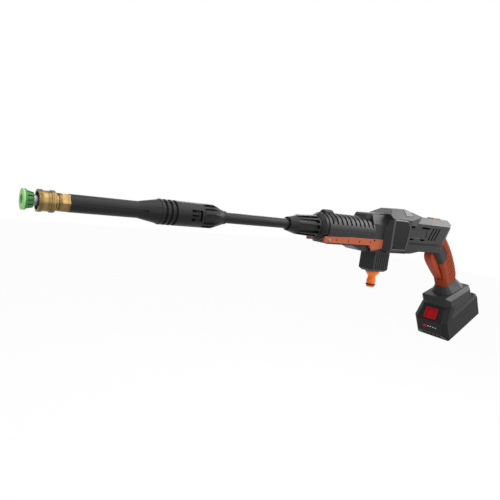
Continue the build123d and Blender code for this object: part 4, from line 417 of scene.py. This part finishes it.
def metal(name, look, grain):
    material, shader, place = newMaterial(name)
    turning = place.stretched(grain["latheStretch"]).noise(*grain["lathe"])
    # painted reflection: dark and light bands along the part, standing for dark surroundings
    reflectionBands = place.stretched(grain["reflectionBandStretch"]).noise(*grain["reflectionBand"])
    reflectionBands = reflectionBands.step(*grain["reflectionBandRamp"])
    stain = place.noise(*grain["tarnish"]).step(*grain["tarnishRamp"])
    soft, edge = softEdges(place, grain["edgeRadius"])
    ofLathe, ofClean, ofReflectionBand = grain["shadeShare"]
    shade = turning * ofLathe + (1.0 - stain) * ofClean + reflectionBands * ofReflectionBand
    shade = shade.tint(look["dark"], look["light"])
    byStain, byLathe, byEdge = grain["roughShare"]
    polished = scaled(look["light"], grain["edgeLift"])
    feed(
        shader,
        Base_Color=(edge * grain["edgeShare"]).tint(shade, polished),
        Metallic=1.0,
        Roughness=stain * byStain + turning * byLathe - edge * byEdge + look["rough"],
        Normal=bump(turning, grain["latheStrength"], grain["latheDepth"], soft),
    )
    return material


for metalName, metalValues in metalLook.items():
    materials[metalName] = metal(metalName, metalValues, metalGrain)

# Which material each record slot takes
slotLook = {
    "case_plastic": "casePlastic",
    "lance_plastic": "lancePlastic",
    "panel_plastic": "panelHighlightPlastic",
    "grip_rubber": "gripRubber",
    "rail_plastic": "railPlastic",
    "nipple_plastic": "nipplePlastic",
    "button_red": "redPlastic",
    "nozzle_green": "greenPlastic",
    "battery_plastic": "batteryPlastic",
    "brass": "brassMetal",
    "steel": "steelMetal",
    "alloy": "alloyMetal",
    "magnet": "magnetMetal",
    "black_rubber": "blackRubber",
    "board": "boardGreen",
    "cell_wrap": "cellWrap",
    "pale_plastic": "palePlastic",
    "lamp_lens": "lampLens",
}
nodeLook = {"trigger": "triggerRubber"}  # a node whose look differs from its slot's
nodeSlot = {part["node"]: part["material_slot"] for part in frame["record"]["subparts"]}
for nodeName, nodeObject in nodes.items():
    lookName = nodeLook.get(nodeName, slotLook[nodeSlot[nodeName]])
    nodeObject.data.materials.clear()
    nodeObject.data.materials.append(materials[lookName])
print("stage: materials set")


def settle(form, name, body, look):
    bmesh.ops.recalc_face_normals(form, faces=form.faces)
    mesh = bpy.data.meshes.new(name)
    form.to_mesh(mesh)
    form.free()
    mesh.materials.append(materials[look])
    piece = bpy.data.objects.new(name, mesh)
    bpy.context.collection.objects.link(piece)
    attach(piece, body)
    return piece


def roundOff(form, geom, affect, offset, segments):
    bmesh.ops.bevel(
        form,
        geom=geom,
        offset=offset,
        affect=affect,
        segments=segments,
        profile=0.5,
        material=-1,
    )


def thicken(form, drop):  # closes an open sheet into a plate that reaches back along drop
    rim = [edge for edge in form.edges if edge.is_boundary]
    grown = bmesh.ops.extrude_edge_only(form, edges=rim)["geom"]
    back = [item for item in grown if isinstance(item, bmesh.types.BMVert)]
    bmesh.ops.translate(form, verts=back, vec=drop)
    rim = [edge for edge in form.edges if edge.is_boundary]
    bmesh.ops.holes_fill(form, edges=rim, sides=0)


def stand(form, place, outward, along=(1.0, 0.0, 0.0)):  # turns z to outward, x to along
    out = Vector(outward).normalized()
    level = (Vector(along) - out * out.dot(Vector(along))).normalized()
    turn = Matrix((level, out.cross(level), out)).transposed().to_4x4()
    bmesh.ops.transform(form, matrix=Matrix.Translation(place) @ turn, verts=form.verts)


def buildPlate(name, body, middle, outward, along, size):  # rounded, with a sunk face, in near-black painted shade
    form = bmesh.new()
    bmesh.ops.create_grid(form, x_segments=1, y_segments=1, size=0.5)
    bmesh.ops.scale(form, verts=form.verts, vec=(size["length"], size["width"], 1.0))
    roundOff(form, form.verts[:], "VERTICES", size["corner"], segments=4)
    bmesh.ops.inset_region(
        form, faces=form.faces[:], thickness=size["rim"], depth=-size["sink"]
    )
    thicken(form, (0.0, 0.0, -size["thick"]))
    stand(form, middle, outward, along)
    settle(form, name, body, "holeShadePlastic")


# Air mesh on the rear of the hump, left side
humpMesh = {
    "frontTop": (0.0460, 0.0018),  # along the gun, and down the bevel
    "frontFoot": (0.0400, 0.0178),
    "rearTop": (0.0640, 0.0058),
    "rearFoot": (0.0600, 0.0172),
    "bevelTop": (-0.009, 0.1432),  # across the gun, and up
    "bevelFoot": (-0.030, 0.1250),
    "columns": 8,
    "rows": 7,
    "bar": 0.00036,
    "pit": 0.0007,
    "rise": 0.0006,
    "reach": 2.0,  # of its rise, so that it sits in the bevel
}


def buildHumpMesh(size):
    top = Vector((0.0, *size["bevelTop"]))
    down = (Vector((0.0, *size["bevelFoot"])) - top).normalized()
    out = Vector((1.0, 0.0, 0.0)).cross(down).normalized()
    form = bmesh.new()
    bmesh.ops.create_grid(form, x_segments=size["columns"], y_segments=size["rows"], size=0.5)
    for vert in form.verts:
        along, share = vert.co.x + 0.5, vert.co.y + 0.5
        upper = Vector(size["frontTop"]).lerp(Vector(size["rearTop"]), along)
        lower = Vector(size["frontFoot"]).lerp(Vector(size["rearFoot"]), along)
        x, depth = upper.lerp(lower, share)
        vert.co = top + down * depth + out * size["rise"] + Vector((x, 0.0, 0.0))
    bmesh.ops.recalc_face_normals(form, faces=form.faces)
    if form.faces[:][0].normal.dot(out) < 0.0:
        bmesh.ops.reverse_faces(form, faces=form.faces)
    bmesh.ops.inset_individual(
        form, faces=form.faces[:], thickness=size["bar"], depth=-size["pit"]
    )
    thicken(form, out * -(size["rise"] * size["reach"]))
    settle(form, "humpMesh", "gun", "meshPlastic")


buildHumpMesh(humpMesh)

# Screw in the left rail, and a near-black disc painted as the shade of a screw hole
railFixings = {
    "railScrew": {
        "place": (-0.1414, -0.0206, 0.0806),
        "radius": 0.0027,
        "slot": "steel",
        "look": "steelMetal",
    },
    # painted shade: a near-black disc standing for the dark inside of a screw hole
    "railHoleShade": {
        "place": (-0.0335, -0.0206, 0.0844),
        "radius": 0.0018,
        "slot": "case_plastic",
        "look": "holeShadePlastic",
    },
}
fixingShape = {  # shares of the radius
    "sides": 28,
    "top": 0.94,
    "height": 0.6,
    "round": 0.12,
    "rim": 0.34,
    "socketWall": 0.03,
    "socketDepth": 0.35,
}


def buildFixing(name, size, shape):
    radius = size["radius"]
    form = bmesh.new()
    bmesh.ops.create_cone(
        form,
        cap_ends=True,
        segments=shape["sides"],
        radius1=radius,
        radius2=radius * shape["top"],
        depth=radius * shape["height"],
    )
    crown = max(form.faces, key=lambda face: face.calc_center_median().z)
    roundOff(form, crown.edges[:], "EDGES", radius * shape["round"], segments=3)
    crown = max(
        form.faces,
        key=lambda face: (round(face.calc_center_median().z, 7), face.calc_area()),
    )
    bmesh.ops.inset_region(form, faces=[crown], thickness=radius * shape["rim"], depth=0.0)
    bmesh.ops.inset_region(
        form,
        faces=[crown],
        thickness=radius * shape["socketWall"],
        depth=-radius * shape["socketDepth"],
    )
    stand(form, size["place"], (0.0, -1.0, 0.0))
    settle(form, name, "gun", size["look"])


for fixingName, fixingSize in railFixings.items():
    buildFixing(fixingName, fixingSize, fixingShape)

# Bare sheet in the side panel
panelSheet = {
    "floor": -0.0312,
    "front": 0.0011,
    "rear": 0.0419,
    "rearFoot": 0.0373,
    "top": 0.1209,
    "turn": 0.0980,
    "foot": 0.0731,
    "cornerRound": 0.0110,
    "smallRound": 0.0012,
    "edgeRound": 0.00015,
    "thick": 0.0004,
    "reach": 1.5,  # of its thickness, so that it sits in the panel
}


def buildPanelSheet(size):
    form = bmesh.new()
    outline = [
        (size["front"], size["foot"]),
        (size["front"], size["top"]),
        (size["rear"], size["top"]),
        (size["rear"], size["turn"]),
        (size["rearFoot"], size["foot"]),
    ]
    corners = [form.verts.new((x, size["floor"] - size["thick"], z)) for x, z in outline]
    form.faces.new(corners)
    roundOff(form, corners[:2], "VERTICES", size["smallRound"], segments=8)
    roundOff(form, corners[2:3], "VERTICES", size["cornerRound"], segments=8)
    thicken(form, (0.0, size["thick"] * size["reach"], 0.0))
    face = min(form.faces, key=lambda face: face.calc_center_median().y)
    roundOff(form, face.edges[:], "EDGES", size["edgeRound"], segments=2)
    settle(form, "panelSheet", "gun", "sheetPlastic")


buildPanelSheet(panelSheet)

# Ribbed grip sleeve: the cover's own form with leaning ribs on its rear half
gripAlong = Vector((0.88048, 0.0, 0.47409))
gripUp = Vector((-0.47409, 0.0, 0.88048))
gripFoot = Vector((0.2390, 0.0, 0.0085))
gripSleeve = {
    "merge": 0.000001,
    "voxel": 0.0008,
    "smooth": 0.5,
    "ribPitch": 0.0070,
    "ribHeight": 0.0014,
    "ribLean": 0.35,  # how far a rib runs back as it rises
    "crownHighlightShare": 0.55,
    "grooveShare": 0.85,
    "ribStart": -0.004,  # ahead of the grip's middle line
    "ribFade": 0.007,
    "ribFoot": 0.005,
    "footFade": 0.004,
    "middle": [(0.0, 0.0005), (0.045, -0.0030), (0.110, -0.0250)],  # up, and along there
}


def gripMiddle(up, stops):
    for (low, start), (high, end) in zip(stops, stops[1:]):
        if up <= high or high == stops[-1][0]:
            return start + (end - start) * (up - low) / (high - low)


def ramp(value, low, length):
    return min(max((value - low) / length, 0.0), 1.0)


def gripSkin(size):  # an even mesh of the cover
    form = bmesh.new()
    form.from_mesh(nodes["grip_cover"].data)
    bmesh.ops.remove_doubles(form, verts=form.verts, dist=size["merge"])
    coarse = bpy.data.meshes.new("gripCoarse")
    form.to_mesh(coarse)
    form.free()
    blank = bpy.data.objects.new("gripCoarse", coarse)
    bpy.context.collection.objects.link(blank)
    even = blank.modifiers.new("even", "REMESH")
    even.mode = "VOXEL"
    even.voxel_size = size["voxel"]
    finished = blank.evaluated_get(bpy.context.evaluated_depsgraph_get())
    skin = bpy.data.meshes.new_from_object(finished)
    bpy.data.objects.remove(blank)
    return skin


def buildGripSleeve(size):
    form = bmesh.new()
    form.from_mesh(gripSkin(size))
    bmesh.ops.smooth_vert(
        form,
        verts=form.verts,
        factor=size["smooth"],
        use_axis_x=True,
        use_axis_y=True,
        use_axis_z=True,
    )
    form.normal_update()
    crown = form.verts.layers.float.new("ribCrownHighlight")
    groove = form.verts.layers.float.new("ribGrooveShade")
    for vert in form.verts:
        away = vert.co - gripFoot
        along, up = away.dot(gripAlong), away.dot(gripUp)
        behind = along - gripMiddle(up, size["middle"])
        outward = gripAlong * behind + Vector((0.0, vert.co.y, 0.0))
        if outward.dot(vert.normal) > 0.0:
            share = ramp(behind, size["ribStart"], size["ribFade"])
            share *= ramp(up, size["ribFoot"], size["footFade"])
            turns = (vert.co.x - size["ribLean"] * vert.co.z) / size["ribPitch"]
            wave = 0.5 + 0.5 * math.cos(2.0 * math.pi * turns)
            vert.co += vert.normal * (share * wave * size["ribHeight"])
            # painted highlight: the rib crowns are made paler in the colour
            vert[crown] = share * wave * size["crownHighlightShare"]
            # painted shade: the grooves between the ribs are darkened in the colour
            vert[groove] = share * (1.0 - wave) ** 2 * size["grooveShare"]
    for face in form.faces:
        face.smooth = True
    piece = settle(form, "gripSleeve", "gun", "gripRubber")
    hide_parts("grip_cover")


buildGripSleeve(gripSleeve)

# Coupler spring, filling the CAD part's box; the real spring shortens as the sleeve is drawn
# back, but nothing here shortens it
couplerSpring = {
    "wireRadius": 0.0004,
    "wireSides": 10,
    "turns": 4,
    "turnSteps": 40,
    "sleeveTravel": 0.0040,
}


def buildCouplerSpring(size):
    low, high = [Vector(corner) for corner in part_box("coupler_spring")]
    wire, steps = size["wireRadius"], size["turns"] * size["turnSteps"]
    middle = Vector((low.x + wire, (low.y + high.y) / 2, (low.z + high.z) / 2))
    coilRadius = (high.z - low.z) / 2 - wire
    advance = (high.x - low.x - 2.0 * wire) / steps
    form = bmesh.new()
    bmesh.ops.create_circle(form, cap_ends=True, segments=size["wireSides"], radius=wire)
    stand(form, middle + Vector((0.0, 0.0, coilRadius)), (0.0, 1.0, 0.0))
    bmesh.ops.spin(
        form,
        geom=form.verts[:] + form.edges[:] + form.faces[:],
        cent=middle,
        axis=(1.0, 0.0, 0.0),
        dvec=(advance, 0.0, 0.0),
        angle=2.0 * math.pi * size["turns"],
        steps=steps,
    )
    for face in form.faces:
        face.smooth = len(face.verts) == 4  # the ends stay flat
    piece = settle(form, "couplerSpring", "front_lance", "brassMetal")
    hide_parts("coupler_spring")
    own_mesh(piece)


buildCouplerSpring(couplerSpring)

# Air slots on the battery's lower nose, drawn as near-black plates: painted shade of the
# slots
noseVents = {
    "count": 5,
    "pitch": 0.0088,
    "noseTop": (-0.0710, -0.0840),  # along and up the grip
    "noseFoot": (-0.0620, -0.0995),
    "share": 0.44,
    "rise": 0.0004,
    "plate": {
        "length": 0.0092,
        "width": 0.0064,
        "corner": 0.0012,
        "rim": 0.0005,
        "sink": 0.0003,
        "thick": 0.0008,
    },
}


def buildNoseVents(size):
    top, foot = [
        gripFoot + gripAlong * along + gripUp * up
        for along, up in (size["noseTop"], size["noseFoot"])
    ]
    down = (foot - top).normalized()
    out = down.cross(Vector((0.0, -1.0, 0.0)))
    if out.dot(gripAlong) > 0.0:
        out = -out
    for index in range(size["count"]):
        middle = top.lerp(foot, size["share"]) + out * size["rise"]
        middle.y = (index - (size["count"] - 1) / 2) * size["pitch"]
        name = f"noseVent{index + 1}"
        buildPlate(name, "battery", middle, out, down, size["plate"])


buildNoseVents(noseVents)

# Slit in the lance latch's tongue, drawn as a near-black plate: painted shade of the slit
latchSlit = {
    "middle": (-0.3813, -0.0162, 0.0980),
    "plate": {
        "length": 0.0105,
        "width": 0.0019,
        "corner": 0.0006,
        "rim": 0.0002,
        "sink": 0.0001,
        "thick": 0.0004,
    },
}
buildPlate(
    "latchSlit",
    "front_lance",
    latchSlit["middle"],
    (0.0, -1.0, 0.0),
    (1.0, 0.0, 0.0),
    latchSlit["plate"],
)

# Near-black screens behind the raked slots: painted shade, so that the slots read dark
slotShadeScreens = {
    "middle": (0.1320, 0.0208, 0.1030),  # of the right one
    "plate": {
        "length": 0.0440,
        "width": 0.0258,
        "corner": 0.0020,
        "rim": 0.0010,
        "sink": 0.0001,
        "thick": 0.0006,
    },
}
for screenName, screenSide in (("slotShadeScreenLeft", -1.0), ("slotShadeScreenRight", 1.0)):
    screenX, screenY, screenZ = slotShadeScreens["middle"]
    buildPlate(
        screenName,
        "gun",
        (screenX, screenY * screenSide, screenZ),
        (0.0, screenSide, 0.0),
        (1.0, 0.0, 0.0),
        slotShadeScreens["plate"],
    )
print("stage: small pieces made")

# Studio
studio = {
    "floorDrop": 0.55,
    "floorSize": 14.0,
    "floorCells": 4,
    "floorColour": (0.86, 0.86, 0.86, 1.0),
    "floorRough": 0.9,
    "floorWhite": 0.96,
    "worldLight": 0.32,
}
lamps = {
    "overhead": {
        "place": (0.05, -0.35, 1.30),
        "aim": (-0.05, 0.0, 0.08),
        "size": 1.6,
        "power": 19.0,
    },
    "sideLeft": {
        "place": (-0.30, -1.65, 0.60),
        "aim": (0.0, 0.0, 0.08),
        "size": 1.8,
        "power": 13.0,
    },
    "frontFill": {
        "place": (-1.55, -0.30, 0.55),
        "aim": (-0.2, 0.0, 0.08),
        "size": 1.0,
        "power": 6.0,
    },
    "rearTop": {
        "place": (1.30, -0.45, 0.95),
        "aim": (0.12, 0.0, 0.10),
        "size": 1.2,
        "power": 20.0,
    },
    "rearLeft": {
        "place": (1.00, -1.15, 0.70),
        "aim": (0.10, 0.0, 0.08),
        "size": 1.5,
        "power": 7.0,
    },
    "backFill": {
        "place": (0.70, 1.20, 0.75),
        "aim": (0.0, 0.0, 0.05),
        "size": 0.9,
        "power": 8.0,
    },
}
white = (1.0, 1.0, 1.0, 1.0)


def whiteToCamera(tree, shaded, output, share):  # white where the camera or a shine sees it
    path = tree.nodes.new("ShaderNodeLightPath")
    seen = Wire(tree, path.outputs["Is Camera Ray"])
    seen = seen.math("MAXIMUM", Wire(tree, path.outputs["Is Glossy Ray"]))
    seen = seen.math("MAXIMUM", Wire(tree, path.outputs["Is Transmission Ray"])) * share
    kind = "ShaderNodeEmission" if output == "Material" else "ShaderNodeBackground"
    glow = seen.node(kind, {"Color": white, "Strength": 1.0})
    mix = seen.node("ShaderNodeMixShader", {0: seen, 1: Wire(tree, shaded), 2: glow})
    tree.links.new(mix.socket, tree.nodes[f"{output} Output"].inputs["Surface"])


world = bpy.data.worlds.new("studioWorld")
bpy.context.scene.world = world
world.use_nodes = True
skyGlow = world.node_tree.nodes["Background"]
skyGlow.inputs["Color"].default_value = white
skyGlow.inputs["Strength"].default_value = studio["worldLight"]
whiteToCamera(world.node_tree, skyGlow.outputs[0], "World", 1.0)

floorMesh = bpy.data.meshes.new("floor")
floorForm = bmesh.new()
bmesh.ops.create_grid(
    floorForm,
    x_segments=studio["floorCells"],
    y_segments=studio["floorCells"],
    size=studio["floorSize"] / 2,
)
floorHeight = cadBox[0][2] - studio["floorDrop"]
bmesh.ops.translate(floorForm, verts=floorForm.verts, vec=(0.0, 0.0, floorHeight))
floorForm.to_mesh(floorMesh)
floorForm.free()
floor = bpy.data.objects.new("floor", floorMesh)
bpy.context.collection.objects.link(floor)
floorMaterial, floorShader = newMaterial("floorPaper")[:2]
feed(floorShader, Base_Color=studio["floorColour"], Roughness=studio["floorRough"])
whiteToCamera(
    floorMaterial.node_tree, floorShader.outputs[0], "Material", studio["floorWhite"]
)
floorMesh.materials.append(floorMaterial)

for lampName, lamp in lamps.items():
    lampData = bpy.data.lights.new(lampName, "AREA")
    lampData.shape = "DISK"
    lampData.size = lamp["size"]
    lampData.energy = lamp["power"]
    lampObject = bpy.data.objects.new(lampName, lampData)
    lampObject.location = lamp["place"]
    aim = Vector(lamp["aim"]) - Vector(lamp["place"])
    lampObject.rotation_euler = aim.to_track_quat("-Z", "Y").to_euler()
    bpy.context.collection.objects.link(lampObject)

# Camera
cameraView = {
    "lens": 35.03,
    "sensor": 36.0,
    "nearest": 0.01,
    "place": (-0.69517, -0.54611, 0.13351),
    "right": (0.796118, -0.590766, 0.131115),
    "up": (-0.036867, 0.168916, 0.984941),
    "forward": (0.604017, 0.788963, -0.112698),
}
cameraData = bpy.data.cameras.new("camera")
cameraData.lens = cameraView["lens"]
cameraData.sensor_width = cameraView["sensor"]
cameraData.clip_start = cameraView["nearest"]
camera = bpy.data.objects.new("camera", cameraData)
facing = Matrix((cameraView["right"], cameraView["up"], -Vector(cameraView["forward"])))
turned = facing.transposed().to_4x4()
camera.matrix_world = Matrix.Translation(cameraView["place"]) @ turned
bpy.context.collection.objects.link(camera)
bpy.context.scene.camera = camera
bpy.context.scene.view_settings.view_transform = "Standard"
print("stage: studio set")
